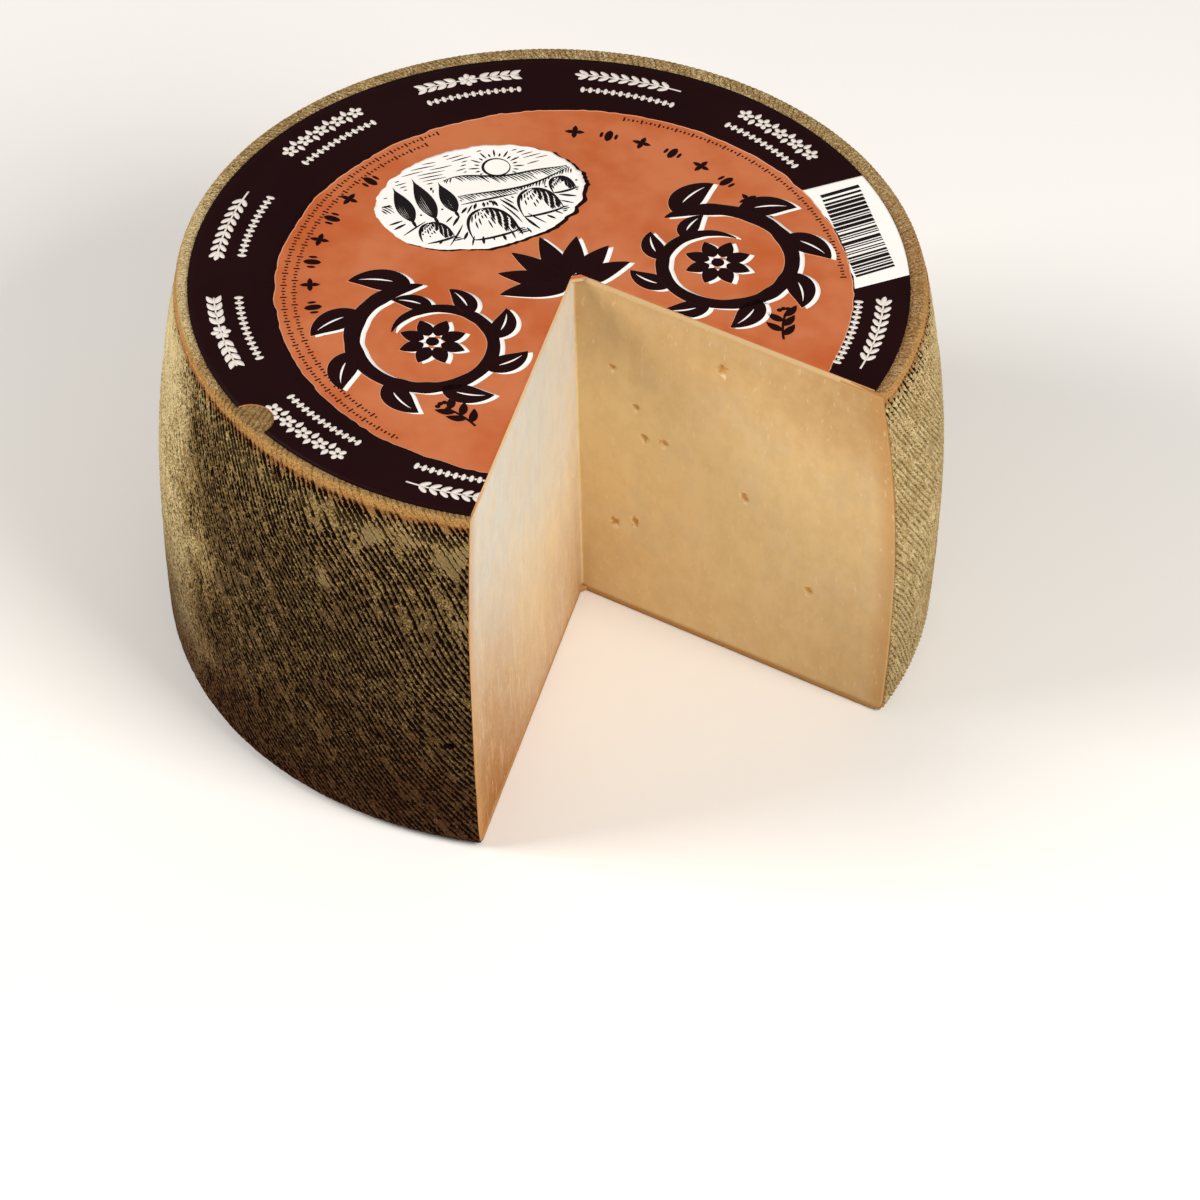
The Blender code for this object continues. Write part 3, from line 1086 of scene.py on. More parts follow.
        # Painted shade: the low value darkens the side from about half its height down to the foot.
        slow = SmoothNoise(23).at(s / (25.0 * MM), z / 0.05)
        fair, pale, _, front = self.sides(s, way[None, :])
        low = smooth_step(form.height * 0.55 - z + 9.0 * MM * slow, 0.0, 52.0 * MM)
        low = low * (0.62 + 0.35 * front - 0.42 * fair + 0.52 * pale)
        covered = (radius < self.covered_to) & (z >= form.height)
        outside = {
            "lane": marks["lane"],
            "along": marks["along"],
            "cover": marks["cover"] - 0.26 * smooth - 0.3 * crest + 0.14 * comb,
            "tone": marks["tone"],
            "stain": np.clip(marks["stain"] + 0.2 * comb, 0.0, 1.0) * (1.0 - 0.45 * smooth),
            "crest": crest,
            "blush": np.maximum(blush, 0.75 * fair * band),
            "band": band * (1.0 - 0.8 * fair),
            "bare": marks["bare"] * (1.0 - smooth) * (1.0 - comb),
            "low": low,
            "depth": np.where(covered, self.covered_depth, 0.0),
        }
        inside = {name: form.rind_thickness / MM if name == "depth" else 0.0 for name in outside}
        fields = {
            name: np.concatenate((values + 0.0 * out_r, plain + inside[name]), axis=1)
            for name, values in outside.items()
        }
        return points, fields

    def build(self) -> None:
        """Cut the grid into sectors and make a closed shell of each.

        A sector's rows form a closed loop, outer rows then inner rows, swept over its columns.
        A flat face shuts each end.
        """
        points, fields = self.grid()
        material = self.finish.material()
        rows = points.shape[1]
        edges = np.linspace(0, self.columns, self.sectors + 1).astype(int)
        steps = np.hypot(*np.diff(points[0, :, :2], axis=0, append=points[:1, 0, :2]).T)
        steps = np.maximum(steps, np.abs(np.diff(points[0, :, 2], append=points[0, 0, 2])))
        along = np.concatenate(([0.0], np.cumsum(steps) / steps.sum()))
        for number in range(self.sectors):
            first, last = edges[number], edges[number + 1]
            count = last - first + 1
            faces, column, row = tube(count, rows)
            flat = {name: values[first : last + 1].reshape(-1) for name, values in fields.items()}
            depth = flat["depth"][:rows]
            end_map = 0.96 + 0.01 * np.stack((depth[::-1], depth + 1.5))
            end_along = np.stack((along[:-1][::-1], along[:-1]))
            maps = map_places((column / (count - 1) * MAP_SHARE, along[row]), (end_map, end_along))
            shell = points[first : last + 1].reshape(-1, 3)
            data = MeshData(shell, faces, maps, flat, flat_from=len(faces[0]))
            settle(data.to_object(f"rind_side_{number + 1}", material), "cheese", Slot.RIND)


@dataclass(frozen=True)
class Eye:
    """A small hole in a cut face.

    Attributes:
        reach: Distance out from the cut's inner edge.
        level: Height above the foot.
        radius: Its half width.
    """

    reach: float
    level: float
    radius: float


@dataclass
class Paste:
    """The inside of the cheese, whose two cut faces show. The right one has small eyes.

    The finest step is the least distance between two lines of points.
    """

    form: WheelForm
    finish: PasteFinish
    face_columns: int = 140
    back_columns: int = 24
    rows: int = 150
    lines_per_eye: int = 13
    finest: float = 0.1 * MM
    eyes: tuple[Eye, ...] = (
        Eye(42.1 * MM, 91.4 * MM, 1.3 * MM),
        Eye(10.4 * MM, 78.2 * MM, 0.9 * MM),
        Eye(16.9 * MM, 68.1 * MM, 0.9 * MM),
        Eye(19.1 * MM, 59.4 * MM, 1.2 * MM),
        Eye(25.1 * MM, 60.2 * MM, 1.0 * MM),
        Eye(10.1 * MM, 27.7 * MM, 1.2 * MM),
        Eye(16.1 * MM, 30.4 * MM, 1.1 * MM),
        Eye(48.0 * MM, 53.0 * MM, 1.1 * MM),
        Eye(66.0 * MM, 31.0 * MM, 1.0 * MM),
    )

    def lines(self, start: float, end: float, count: int, middles: Iterable[Place]) -> Array:
        """Return even places from start to end, with closer ones across each eye.

        Args:
            start: The first place.
            end: The last place.
            count: How many even places there are.
            middles: The middle and the radius of each eye along the same line.

        Returns:
            The places in order, none closer together than the finest step.
        """
        parts = [np.linspace(start, end, count)]
        for at, radius in middles:
            parts.append(np.linspace(at - 1.6 * radius, at + 1.6 * radius, self.lines_per_eye))
        steps = np.unique(np.round((np.concatenate(parts) - start) / self.finest))
        steps = steps[(steps > 0) & (steps * self.finest < end - start - self.finest)]
        return np.concatenate(([start], start + steps * self.finest, [end]))

    def face(self, side: Side, share: Array, z: Array) -> tuple[Array, Fields]:
        """Work out a cut face.

        A point is apex + share * reach along the face. The knife's long waves and the eyes move
        it along the face's normal. An eye of radius R is sunk by 0.55 R * (1 - (d / R)^2)^0.6 at
        distance d from its middle, with d roughened by noise. A pale patch below each eye is a
        painted highlight on the eye's lower lip.

        Args:
            side: Which face.
            share: Shares of the way out, as a row.
            z: Heights, as a column.

        Returns:
            The points and their fields.
        """
        form = self.form
        outer = form.outline(z) - form.rind_thickness
        out = share * form.reach(side, outer[:, 0], z[:, 0])[:, None]
        waves = SmoothNoise(29 if side is Side.LEFT else 31)
        edge = np.minimum(np.minimum(share, 1.0 - share) * outer, np.minimum(z, form.height - z))
        fade = smooth_step(edge, 1.3 * MM, 5.0 * MM)
        move = 0.10 * MM * waves.over(out, z, 9.0, 70.0)
        move = move + 0.04 * MM * waves.at(out / (2.6 * MM) + 60.0, z / (45.0 * MM))
        move = move * fade
        holes = np.zeros(out.shape)
        torn = 0.5 * waves.over(out, z, 0.7, 0.6, 30.0)
        for eye in self.eyes if side is Side.RIGHT else ():
            distance = np.hypot(out - eye.reach, z - eye.level) / eye.radius * (1.0 + torn)
            move = move - 0.55 * eye.radius * np.clip(1.0 - distance**2, 0.0, 1.0) ** 0.6
            # Painted highlight: negative values mark a pale patch just below the eye; positive ones mark
            # the eye, painted darker as shade.
            below = np.hypot(out - eye.reach - 0.2 * eye.radius, z - eye.level + 1.5 * eye.radius)
            holes = holes - 1.0 + smooth_step(below / eye.radius * (1.0 + torn), 0.35, 0.9)
            holes = np.where(distance < 1.2, smooth_step(1.2 - distance, 0.0, 0.6), holes)
        level = form.apex(z[:, 0])[:, None, :] + out[..., None] * form.along_cut(side)
        level = level + move[..., None] * form.into_gap(side)
        points = np.concatenate((level, np.broadcast_to(z[..., None], out.shape + (1,))), axis=-1)
        depth = form.outline(z) - np.hypot(level[..., 0], level[..., 1])
        depth = np.minimum(depth, 3.0 * np.minimum(z, form.height - z))
        gold_and_warm_bounce, foot, silk = self.tones(side, out, z)
        return points, {"depth": depth / MM, "eye": holes, "gold_and_warm_bounce": gold_and_warm_bounce, "foot": foot, "silk": silk}

    def tones(self, side: Side, out: Array, z: Array) -> tuple[Array, ...]:
        """Return how golden, how brown and how silky a cut face is.

        The right face is golden all over, partly its own colour and partly painted warm bounce
        light, and browner at its top, its foot and its outer edge, the foot's part a painted shade
        near the floor. The left one is cream at its top and goes golden and browner towards its
        foot, from higher up farther out: painted shade and painted warm light reflected from below.

        Args:
            side: Which face.
            out: The way out along the face.
            z: Heights.

        Returns:
            The fields of gold share, foot and silk.
        """
        if side is Side.RIGHT:
            # Browner towards the foot as painted shade near the floor, and browner at the top and the
            # outer edge.
            foot = 0.14 * smooth_step(-z, -48.0 * MM, 4.0 * MM)
            foot = foot + 0.34 * smooth_step(z, 62.0 * MM, 96.0 * MM)
            foot = foot + 0.18 * smooth_step(out, 50.0 * MM, 88.0 * MM)
            return np.ones(out.shape), foot, np.zeros(out.shape)
        # Golden and browner towards the foot: painted shade and painted warm light reflected from below.
        gold_and_warm_bounce = 0.05 + 0.60 * smooth_step(-z, -88.0 * MM, -15.0 * MM) + np.zeros(out.shape)
        far = smooth_step(out, 35.0 * MM, 90.0 * MM)
        start = (60.0 + 40.0 * far) * MM
        foot = (0.56 + 0.46 * far) * smooth_step((start - z) / (start + 10.0 * MM), 0.0, 1.0)
        foot = foot + 0.1 * smooth_step(-z, -10.0 * MM, 0.0)
        return gold_and_warm_bounce, foot, np.ones(out.shape)

    def build(self) -> None:
        """Make the paste as a closed loop of points at each height.

        The loop runs out along the right face, round the back just inside the rind and back
        along the left face. A flat face shuts the top and the bottom.
        """
        form = self.form
        thick = form.rind_thickness
        levels = ((eye.level, eye.radius) for eye in self.eyes)
        z = self.lines(thick, form.height - thick, self.rows, levels)[:, None]
        rows, full = len(z), form.bulge_radius
        reaches = ((eye.reach, eye.radius) for eye in self.eyes)
        out = self.lines(0.0, full, self.face_columns, reaches)[None, :] / full
        right, right_fields = self.face(Side.RIGHT, out, z)
        left, left_fields = self.face(Side.LEFT, out, z)
        radius = form.outline(z) - thick
        share = np.linspace(0.0, 1.0, self.back_columns + 1)[None, 1:-1]
        start = form.cut_angle(Side.RIGHT, radius[:, 0], z[:, 0])
        end = form.cut_angle(Side.LEFT, radius[:, 0], z[:, 0])
        angle = start[:, None] + share * (end - start)[:, None]
        back = np.stack((radius * np.cos(angle), radius * np.sin(angle), z + 0.0 * angle), axis=-1)
        points = np.concatenate((right, back, left[:, :0:-1]), axis=1)
        plain = {"depth": thick / MM, "eye": 0.0, "gold_and_warm_bounce": 0.5, "foot": 0.0, "silk": 0.0}
        fields = {}
        for name, value in plain.items():
            parts = (right_fields[name], np.full(angle.shape, value), left_fields[name][:, :0:-1])
            fields[name] = np.concatenate(parts, axis=1).reshape(-1)
        width = points.shape[1]
        faces, row, column = tube(rows, width)
        flat = points.reshape(-1, 3)
        ends = flat[faces[1]]
        maps = map_places(
            (column / width, row / (rows - 1) * MAP_SHARE),
            (0.5 + ends[..., 0], 0.975 + 0.1 * ends[..., 1]),
        )
        data = MeshData(flat, faces, maps, fields, flat_from=len(faces[0]))
        settle(data.to_object("paste", self.finish.material()), "cheese", Slot.PASTE)


@dataclass
class Patch:
    """A flat figure seen from above.

    Attributes:
        points: Places in the plane, one row of two for each.
        quads: Four-cornered faces.
    """

    points: Array
    quads: Array

    def __post_init__(self) -> None:
        """Turn every face so that it runs anticlockwise."""
        corner = self.points[self.quads]
        first, second = corner[:, 2] - corner[:, 0], corner[:, 3] - corner[:, 1]
        turned = first[:, 0] * second[:, 1] - first[:, 1] * second[:, 0] < 0.0
        self.quads = np.where(turned[:, None], self.quads[:, ::-1], self.quads)


def grid_quads(rows: int, columns: int, closed: bool = False) -> Array:
    """Return the faces of a grid of points, row by row.

    Args:
        rows: Number of rows of points.
        columns: Number of points in a row.
        closed: Whether the last row joins the first.

    Returns:
        One line of four point numbers for each face.
    """
    last = rows if closed else rows - 1
    row, column = np.meshgrid(np.arange(last), np.arange(columns - 1), indexing="ij")
    row, column = row.ravel(), column.ravel()
    here, there = row * columns + column, (row + 1) % rows * columns + column
    return np.stack((here, here + 1, there + 1, there), axis=-1)


def disc(middle: Sequence[float], half: Sequence[float], cells: int) -> Patch:
    """Return a filled oval without a pole.

    A square grid (a, b) from -1 to 1 is rounded by x = a * sqrt(1 - b^2 / 2) and
    y = b * sqrt(1 - a^2 / 2), then stretched to the two half widths.
    """
    steps = np.linspace(-1.0, 1.0, cells + 1)
    a, b = np.meshgrid(steps, steps, indexing="ij")
    x = middle[0] + half[0] * a * np.sqrt(1.0 - b**2 / 2.0)
    y = middle[1] + half[1] * b * np.sqrt(1.0 - a**2 / 2.0)
    return Patch(np.stack((x.ravel(), y.ravel()), axis=-1), grid_quads(cells + 1, cells + 1))


def ribbon(spine: Array, half_width: Array | float, columns: int = 1) -> Patch:
    """Return a strip along a line.

    Each place of the line is moved to both sides along its normal by half the width there.

    Args:
        spine: The line, one row of two for each point.
        half_width: Half the width at each point, or one for all.
        columns: Number of faces across.

    Returns:
        The strip.
    """
    tangent = np.gradient(spine, axis=0)
    tangent /= np.maximum(np.hypot(tangent[:, 0], tangent[:, 1]), 1e-12)[:, None]
    normal = np.column_stack((-tangent[:, 1], tangent[:, 0]))
    across = np.linspace(-1.0, 1.0, columns + 1)
    half = np.broadcast_to(half_width, (len(spine),))
    points = spine[:, None, :] + across[None, :, None] * (normal * half[:, None])[:, None, :]
    return Patch(points.reshape(-1, 2), grid_quads(len(spine), columns + 1))


def every_point(line: Array) -> Array:
    """Return a mask that keeps all the points of a line."""
    return np.ones(len(line), dtype=bool)


def heading(angle: float) -> Array:
    """Return the unit vector at an angle."""
    return np.array([math.cos(angle), math.sin(angle)])


def leaf(
    base: Sequence[float],
    angle: float,
    length: float,
    width: float,
    bend: float = 0.0,
    grow: float = 0.0,
) -> Patch:
    """Return a pointed leaf.

    The spine starts at the base and turns steadily by bend over its length. Half the width is
    width / 2 * sin(pi * t^0.8)^0.85 at the share t of the length.

    Args:
        base: Where the leaf starts.
        angle: The way it points at its base.
        length: Its length.
        width: Its greatest width.
        bend: How far it turns from base to tip.
        grow: How much wider it is all round.

    Returns:
        The leaf.
    """
    t = np.linspace(0.0, 1.0, 19)
    turn = angle + bend * t
    step = (length + 2.0 * grow) * np.column_stack((np.cos(turn), np.sin(turn))) / (len(t) - 1)
    way = np.concatenate(([[0.0, 0.0]], np.cumsum(step[:-1], axis=0)))
    spine = np.asarray(base) - grow * heading(angle) + way
    half = (width / 2.0 + grow) * np.sin(math.pi * t**0.8) ** 0.85
    columns = max(2, round(width / (0.9 * MM)))
    return ribbon(spine, np.maximum(half, 0.03 * MM), columns)


def grain_of(middle: Sequence[float], angle: float, length: float, width: float) -> Patch:
    """Return a small oval that points along an angle.

    Half the width is width / 2 * sqrt(1 - x^2), with x from -1 to 1 along the oval.
    """
    x = np.linspace(-1.0, 1.0, 9)
    spine = np.asarray(middle) + x[:, None] * (length / 2.0) * heading(angle)
    half = width / 2.0 * np.sqrt(1.0 - x**2)
    return ribbon(spine, np.maximum(half, 0.03 * MM), 2)


def band(middle: Sequence[float], inner: Array, outer: Array, angles: Array, columns: int) -> Patch:
    """Return a ring between two distances from a middle, closed where its angles go all round."""
    share = np.linspace(0.0, 1.0, columns + 1)[None, :]
    radius = inner[:, None] * (1.0 - share) + outer[:, None] * share
    x = middle[0] + radius * np.cos(angles)[:, None]
    y = middle[1] + radius * np.sin(angles)[:, None]
    closed = bool(abs((angles[-1] - angles[0]) + (angles[1] - angles[0]) - math.tau) < 1e-6)
    return Patch(np.stack((x.ravel(), y.ravel()), axis=-1), grid_quads(len(angles), columns + 1, closed))


@dataclass(frozen=True)
class LabelForm:
    """The paper label's outline and how it lies on the cheese."""

    form: WheelForm
    centre: Place = (-1.15 * MM, -1.65 * MM)
    radius: float = 88.0 * MM
    notch_angle: float = -165.0 * DEGREE
    notch_radius: float = 5.6 * MM
    lift: float = 0.42 * MM
    rim: float = 0.25 * MM
    layer: float = 0.03 * MM
    wave: float = 0.10 * MM
    field_centre: Place = (1.0 * MM, -6.2 * MM)
    field_radius: float = 70.3 * MM

    def surface(self, points: Array) -> Array:
        """Return the height of the paper's face: level, less slow noise in the plane."""
        dip = SmoothNoise(47).at(points[:, 0] / (23.0 * MM) + 20.0, points[:, 1] / (23.0 * MM) + 20.0)
        return self.form.height + self.lift - self.wave * (0.5 + 0.5 * dip)

    def trim(self, points: Array, quads: Array) -> tuple[Array, Array]:
        """Trim a figure to the cut and to the bite in the rim.

        A point in the gap is moved square on to the nearer cut face, and one in the bite is
        moved out to its circle. A face that lies wholly in either is left out.
        """
        apex = self.form.apex(np.array(self.form.height))
        ways = {side: (points - apex) @ self.form.into_gap(side) for side in Side}
        inside = (ways[Side.LEFT] > 0.0) & (ways[Side.RIGHT] > 0.0)
        lost = inside[quads].all(axis=1)
        for side, other in ((Side.LEFT, Side.RIGHT), (Side.RIGHT, Side.LEFT)):
            nearer = inside & (ways[side] <= ways[other])
            moved = points - ways[side][:, None] * self.form.into_gap(side)
            points = np.where(nearer[:, None], moved, points)
        middle = np.array(self.centre) + self.radius * heading(self.notch_angle)
        way = points - middle
        distance = np.maximum(np.hypot(way[:, 0], way[:, 1]), 1e-9)
        bitten = distance < self.notch_radius
        lost |= bitten[quads].all(axis=1)
        moved = middle + way / distance[:, None] * self.notch_radius
        return np.where(bitten[:, None], moved, points), quads[~lost]


@dataclass
class Slab:
    """A trimmed flat figure that becomes a thin closed sheet."""

    label: LabelForm
    patches: list[Patch]
    level: int
    overlap: float = 0.002 * MM
    turns: int = 5

    def mesh(self, low: Callable[[Array], Array] | None = None) -> MeshData:
        """Work out the sheet.

        The upper face lies the level's number of layers above the paper, and each patch a
        little above the last, so that patches which overlap don't share a plane. The lower
        face lies under the paper's face, or where low says. Each edge that only one face has
        gets a wall.

        Args:
            low: Gives the height of the lower face, if it isn't just under the paper's face.

        Returns:
            The mesh's arrays.
        """
        points, quads, lifts, count = [], [], [], 0
        for number, patch in enumerate(self.patches):
            points.append(patch.points)
            quads.append(patch.quads + count)
            lifts.append(np.full(len(patch.points), (number % self.turns) * self.overlap))
            count += len(patch.points)
        place, faces = self.label.trim(np.concatenate(points), np.concatenate(quads))
        used, faces = np.unique(faces, return_inverse=True)
        faces = faces.reshape(-1, 4)
        place, lift = place[used], np.concatenate(lifts)[used]
        face_height = self.label.surface(place)
        top = face_height + self.level * self.label.layer + lift
        bottom = low(place) if low else face_height - 0.5 * self.label.layer
        size = len(place)
        edges = np.concatenate([faces[:, [a, (a + 1) % 4]] for a in range(4)])
        key, back = edges[:, 0] * size + edges[:, 1], edges[:, 1] * size + edges[:, 0]
        rim = edges[~np.isin(key, back)]
        walls = np.stack((rim[:, 1], rim[:, 0], rim[:, 0] + size, rim[:, 1] + size), axis=-1)
        solid = np.concatenate((np.column_stack((place, top)), np.column_stack((place, bottom))))
        every = np.concatenate((faces, faces[:, ::-1] + size, walls))
        plan = 0.5 + solid[every][..., :2] / (2.1 * self.label.radius)
        shrunk = plan * 0.03 + 0.965
        maps = np.where((np.arange(len(every)) < len(faces))[:, None, None], plan * 0.96, shrunk)
        below = np.concatenate((np.zeros(size), np.ones(size) if low else np.zeros(size)))
        return MeshData(solid, [every], maps.reshape(-1, 2), {"below": below}, flat_from=len(faces))


@dataclass
class PaperLabel:
    """The paper label and its print.

    The print is generic: leaves, flowers, ears of grain, a landscape and plain bars. Spans are
    along the block with the bars, which takes the place of one motif of the ring.
    """

    form: LabelForm
    orange: InkFinish = InkFinish("label_paper_orange", (197, 114, 74), (182, 88, 44), 0.85)
    aubergine: InkFinish = InkFinish(
        "label_ink_aubergine", (32, 9, 11), (25, 6, 8), 0.6, 0.5, (32, 12, 12)
    )
    white: InkFinish = InkFinish("label_ink_white", (247, 243, 238), (240, 235, 228), 0.4)
    cream: InkFinish = InkFinish("label_ink_cream", (232, 222, 214), (214, 202, 194), 0.5)
    halo: InkFinish = InkFinish("label_ink_halo", (224, 158, 122), (214, 140, 102), 0.5)
    black: InkFinish = InkFinish("label_ink_black", (24, 20, 20), (34, 28, 28), 0.5)
    seed: int = 7
    motif_radius: float = 81.6 * MM
    bead_radius: float = 75.6 * MM
    code_number: int = 1
    code_span: Place = (-32.4 * MM, 7.2 * MM)
    bars_span: Place = (-28.6 * MM, 3.2 * MM)
    bar_module: float = 0.40 * MM
    bar_length: float = 10.6 * MM
    bars_start: float = 73.3 * MM
    bars_lean: float = 0.145

    def put(self, name: str, data: MeshData, finish: InkFinish) -> None:
        """Make one piece of the label from its mesh."""
        settle(data.to_object(name, finish.material()), "label", Slot.LABEL)

    def place(self, name: str, patches: list[Patch], level: int, finish: InkFinish) -> None:
        """Make one piece of print from its patches."""
        self.put(name, Slab(self.form, patches, level).mesh(), finish)

    def torn(self, angles: Array) -> Array:
        """Return the distance from the label's middle to the orange field's torn edge.

        A ray at an angle meets the field's circle, whose middle lies at c, at
        c . ray + sqrt(R^2 - |c|^2 + (c . ray)^2). Fine noise round the ring roughens it.
        """
        offset = np.array(self.form.field_centre) - np.array(self.form.centre)
        on_ray = offset[0] * np.cos(angles) + offset[1] * np.sin(angles)
        plain = on_ray + np.sqrt(self.form.field_radius**2 - offset @ offset + on_ray**2)
        rough = SmoothNoise(53)
        way = angles * self.form.field_radius
        coarse = 0.5 * MM * rough.at(way / (5.5 * MM) + 90.0, 0.5)
        return plain + coarse + 0.22 * MM * rough.at(way / (1.7 * MM) + 90.0, 7.5)

    def build(self) -> None:
        """Make the paper and every layer of print."""
        self.paper()
        self.ring()
        self.code_block()
        self.medallion()
        self.ornaments()
        self.fine_print()

    def paper(self) -> None:
        """Make the sheet of paper, which rests on the cheese's top."""
        reach = self.form.radius - self.form.rim
        sheet = disc(self.form.centre, (reach, reach), 110)
        under = self.form.form.height
        data = Slab(self.form, [sheet], 0).mesh(lambda place: np.full(len(place), under))
        self.put("label_paper", data, self.orange)

    def ring(self) -> None:
        """Make the dark ring, the light line inside it and its cream motifs."""
        angles = np.linspace(0.0, math.tau, 1400, endpoint=False)
        inner = self.torn(angles)
        outer = np.full(len(angles), self.form.radius - 0.8 * self.form.rim)
        edge = np.full(len(angles), self.form.radius)
        rings = [
            band(self.form.centre, inner, outer, angles, 14),
            band(self.form.centre, outer, edge, angles, 1),
        ]
        ring = Slab(self.form, rings, 2, overlap=0.0).mesh(self.under_rim)
        self.put("label_ring", ring, self.aubergine)
        line = band(self.form.centre, inner - 0.28 * MM, inner + 0.3 * MM, angles, 1)
        self.place("label_ring_line", [line], 1, self.halo)
        motifs: list[Patch] = []
        for number in range(12):
            if number == self.code_number:
                continue
            middle = (30.0 * number - 37.0) * DEGREE
            motif = (self.ear, self.spray, self.garland)[number % 3]
            motifs += motif(middle, self.motif_radius) + self.beads(middle, self.bead_radius)
        self.place("label_ring_motifs", motifs, 3, self.cream)

    def beads(self, middle: float, radius: float) -> list[Patch]:
        """Return a row of long beads along the ring, with a round one between every two."""
        figures: list[Patch] = []
        for step in range(-6, 7):
            at = middle + step * 1.95 * MM / radius
            figures.append(grain_of(self.arc_point(at, radius), at, 2.3 * MM, 1.15 * MM))
            if step < 6:
                between = self.arc_point(at + 0.98 * MM / radius, radius)
                figures.append(grain_of(between, at, 0.7 * MM, 0.6 * MM))
        return figures

    def under_rim(self, place: Array) -> Array:
        """Return the ring's lower face: just under the paper's, and down to the cheese at the rim."""
        way = place - np.array(self.form.centre)
        at_rim = np.hypot(way[:, 0], way[:, 1]) > self.form.radius - 0.1 * self.form.rim
        return np.where(at_rim, self.form.form.height, self.form.surface(place) - 0.5 * self.form.layer)

    def arc_point(self, angle: float, radius: float) -> Array:
        """Return a place on the label by its angle and distance from the middle."""
        return np.array(self.form.centre) + radius * heading(angle)

    def stem(self, middle: float, radius: float, half: float, half_width: float) -> Patch:
        """Return a thin stem along the ring, which reaches the angle half to each side."""
        angles = np.linspace(middle - half, middle + half, 24)
        return ribbon(arc(self.form.centre, radius, angles), half_width)

    def ear(self, middle: float, radius: float) -> list[Patch]:
        """Return an ear of grain that lies along the ring: a stem and pairs of grains."""
        half = 12.6 * MM / radius
        figures = [self.stem(middle, radius, half, 0.24 * MM)]
        for at in np.linspace(middle - 0.72 * half, middle + 0.95 * half, 9):
            along = at + QUARTER
            for side in (-1.0, 1.0):
                tip = self.arc_point(at, radius) + 1.45 * MM * heading(along + side * 42.0 * DEGREE)
                figures.append(grain_of(tip, along + side * 36.0 * DEGREE, 3.0 * MM, 1.25 * MM))
        tip = self.arc_point(middle + 1.09 * half, radius)
        return figures + [grain_of(tip, middle + QUARTER, 3.2 * MM, 1.3 * MM)]

    def spray(self, middle: float, radius: float) -> list[Patch]:
        """Return a stem along the ring with a flower at its middle and pairs of leaves."""
        half = 13.2 * MM / radius
        figures = [self.stem(middle, radius, half, 0.22 * MM)]
        figures += self.rosette(middle, radius, 6, 2.5 * MM)
        for away in (-1.0, 1.0):
            for step in range(4):
                at = middle + away * (0.24 + 0.2 * step) * half
                along = at + away * QUARTER
                base = self.arc_point(at, radius)
                for side in (-1.0, 1.0):
                    figures.append(leaf(base, along + side * 0.75, 3.3 * MM, 1.6 * MM, -side * 0.4))
        return figures

    def garland(self, middle: float, radius: float) -> list[Patch]:
        """Return five small flowers along the ring with a leaf on each side between them."""
        figures: list[Patch] = []
        for step in range(-2, 3):
            at = middle + step * 5.6 * MM / radius
            figures += self.rosette(at, radius, 5, 2.2 * MM)
            if step < 2:
                for side in (-1.0, 1.0):
                    base = self.arc_point(at + 2.8 * MM / radius, radius - side * 0.2 * MM)
                    figures.append(leaf(base, at + (0.0 if side < 0.0 else math.pi), 2.5 * MM, 1.4 * MM))
        return figures

    def rosette(self, angle: float, radius: float, petals: int, reach: float) -> list[Patch]:
        """Return a small flower of rounded petals at a place on the label."""
        middle = self.arc_point(angle, radius)
        figures: list[Patch] = []
        for number in range(petals):
            turn = angle + math.tau * number / petals
            petal = middle + 0.58 * reach * heading(turn)
            figures.append(grain_of(petal, turn, 0.84 * reach, 0.6 * reach))
        return figures

    def code_block(self) -> None:
        """Make the white block in the ring and its plain bars, which encode nothing."""
        centre = np.array(self.form.centre)
        columns = 30
        y = np.linspace(*self.code_span, 90)
        first_guess, rounds = 73.0 * MM, 4
        angle = np.arctan2(y - centre[1], first_guess)
        for _ in range(rounds):
            radius = self.torn(angle)
            angle = np.arcsin((y - centre[1]) / radius)
        x_in = centre[0] + radius * np.cos(angle)
        x_out = centre[0] + np.sqrt((self.form.radius - 0.1 * MM) ** 2 - (y - centre[1]) ** 2)
        share = np.linspace(0.0, 1.0, columns)[None, :]
        x = x_in[:, None] * (1.0 - share) + x_out[:, None] * share
        points = np.stack((x, y[:, None] + 0.0 * x), axis=-1).reshape(-1, 2)
        ground = Patch(points, grid_quads(len(y), columns))
        self.place("label_code_ground", [ground], 3, self.white)
        draw = random.Random(self.seed)
        share = np.linspace(0.0, 1.0, 9)[:, None]
        way = np.array([[self.bar_length, 0.5 * MM]])
        bars: list[Patch] = []
        level, end = self.bars_span
        while level < end:
            thick = self.bar_module * draw.choice((1, 1, 2, 2, 3))
            start = self.bars_start + (level - 2.9 * MM) * self.bars_lean
            bars.append(ribbon(np.array([[start, level + thick / 2.0]]) + share * way, thick / 2.0))
            level += thick + self.bar_module * draw.choice((1, 1, 1, 2))
        self.place("label_code_bars", bars, 4, self.black)

    def medallion(self) -> None:
        """Make the white oval with its dark edge and an engraved view of fields."""
        view = Medallion(self.form, self.seed)
        self.place("label_oval_shadow", view.shadow(), 1, self.aubergine)
        self.place("label_oval_ground", view.ground(), 2, self.white)
        self.place("label_oval_view", view.landscape(), 3, self.black)

    def ornaments(self) -> None:
        """Make the large leaves and flowers: a light line, a white offset and the dark figures."""
        figures = Ornaments()
        self.place("label_figure_line", figures.all(0.22 * MM, (0.0, 0.0)), 1, self.halo)
        self.place("label_figure_white", figures.all(0.0, (0.95 * MM, -0.8 * MM)), 2, self.white)
        self.place("label_figure_dark", figures.all(0.0, (0.0, 0.0)), 3, self.aubergine)
        self.place("label_figure_veins", figures.veins(), 4, self.white)

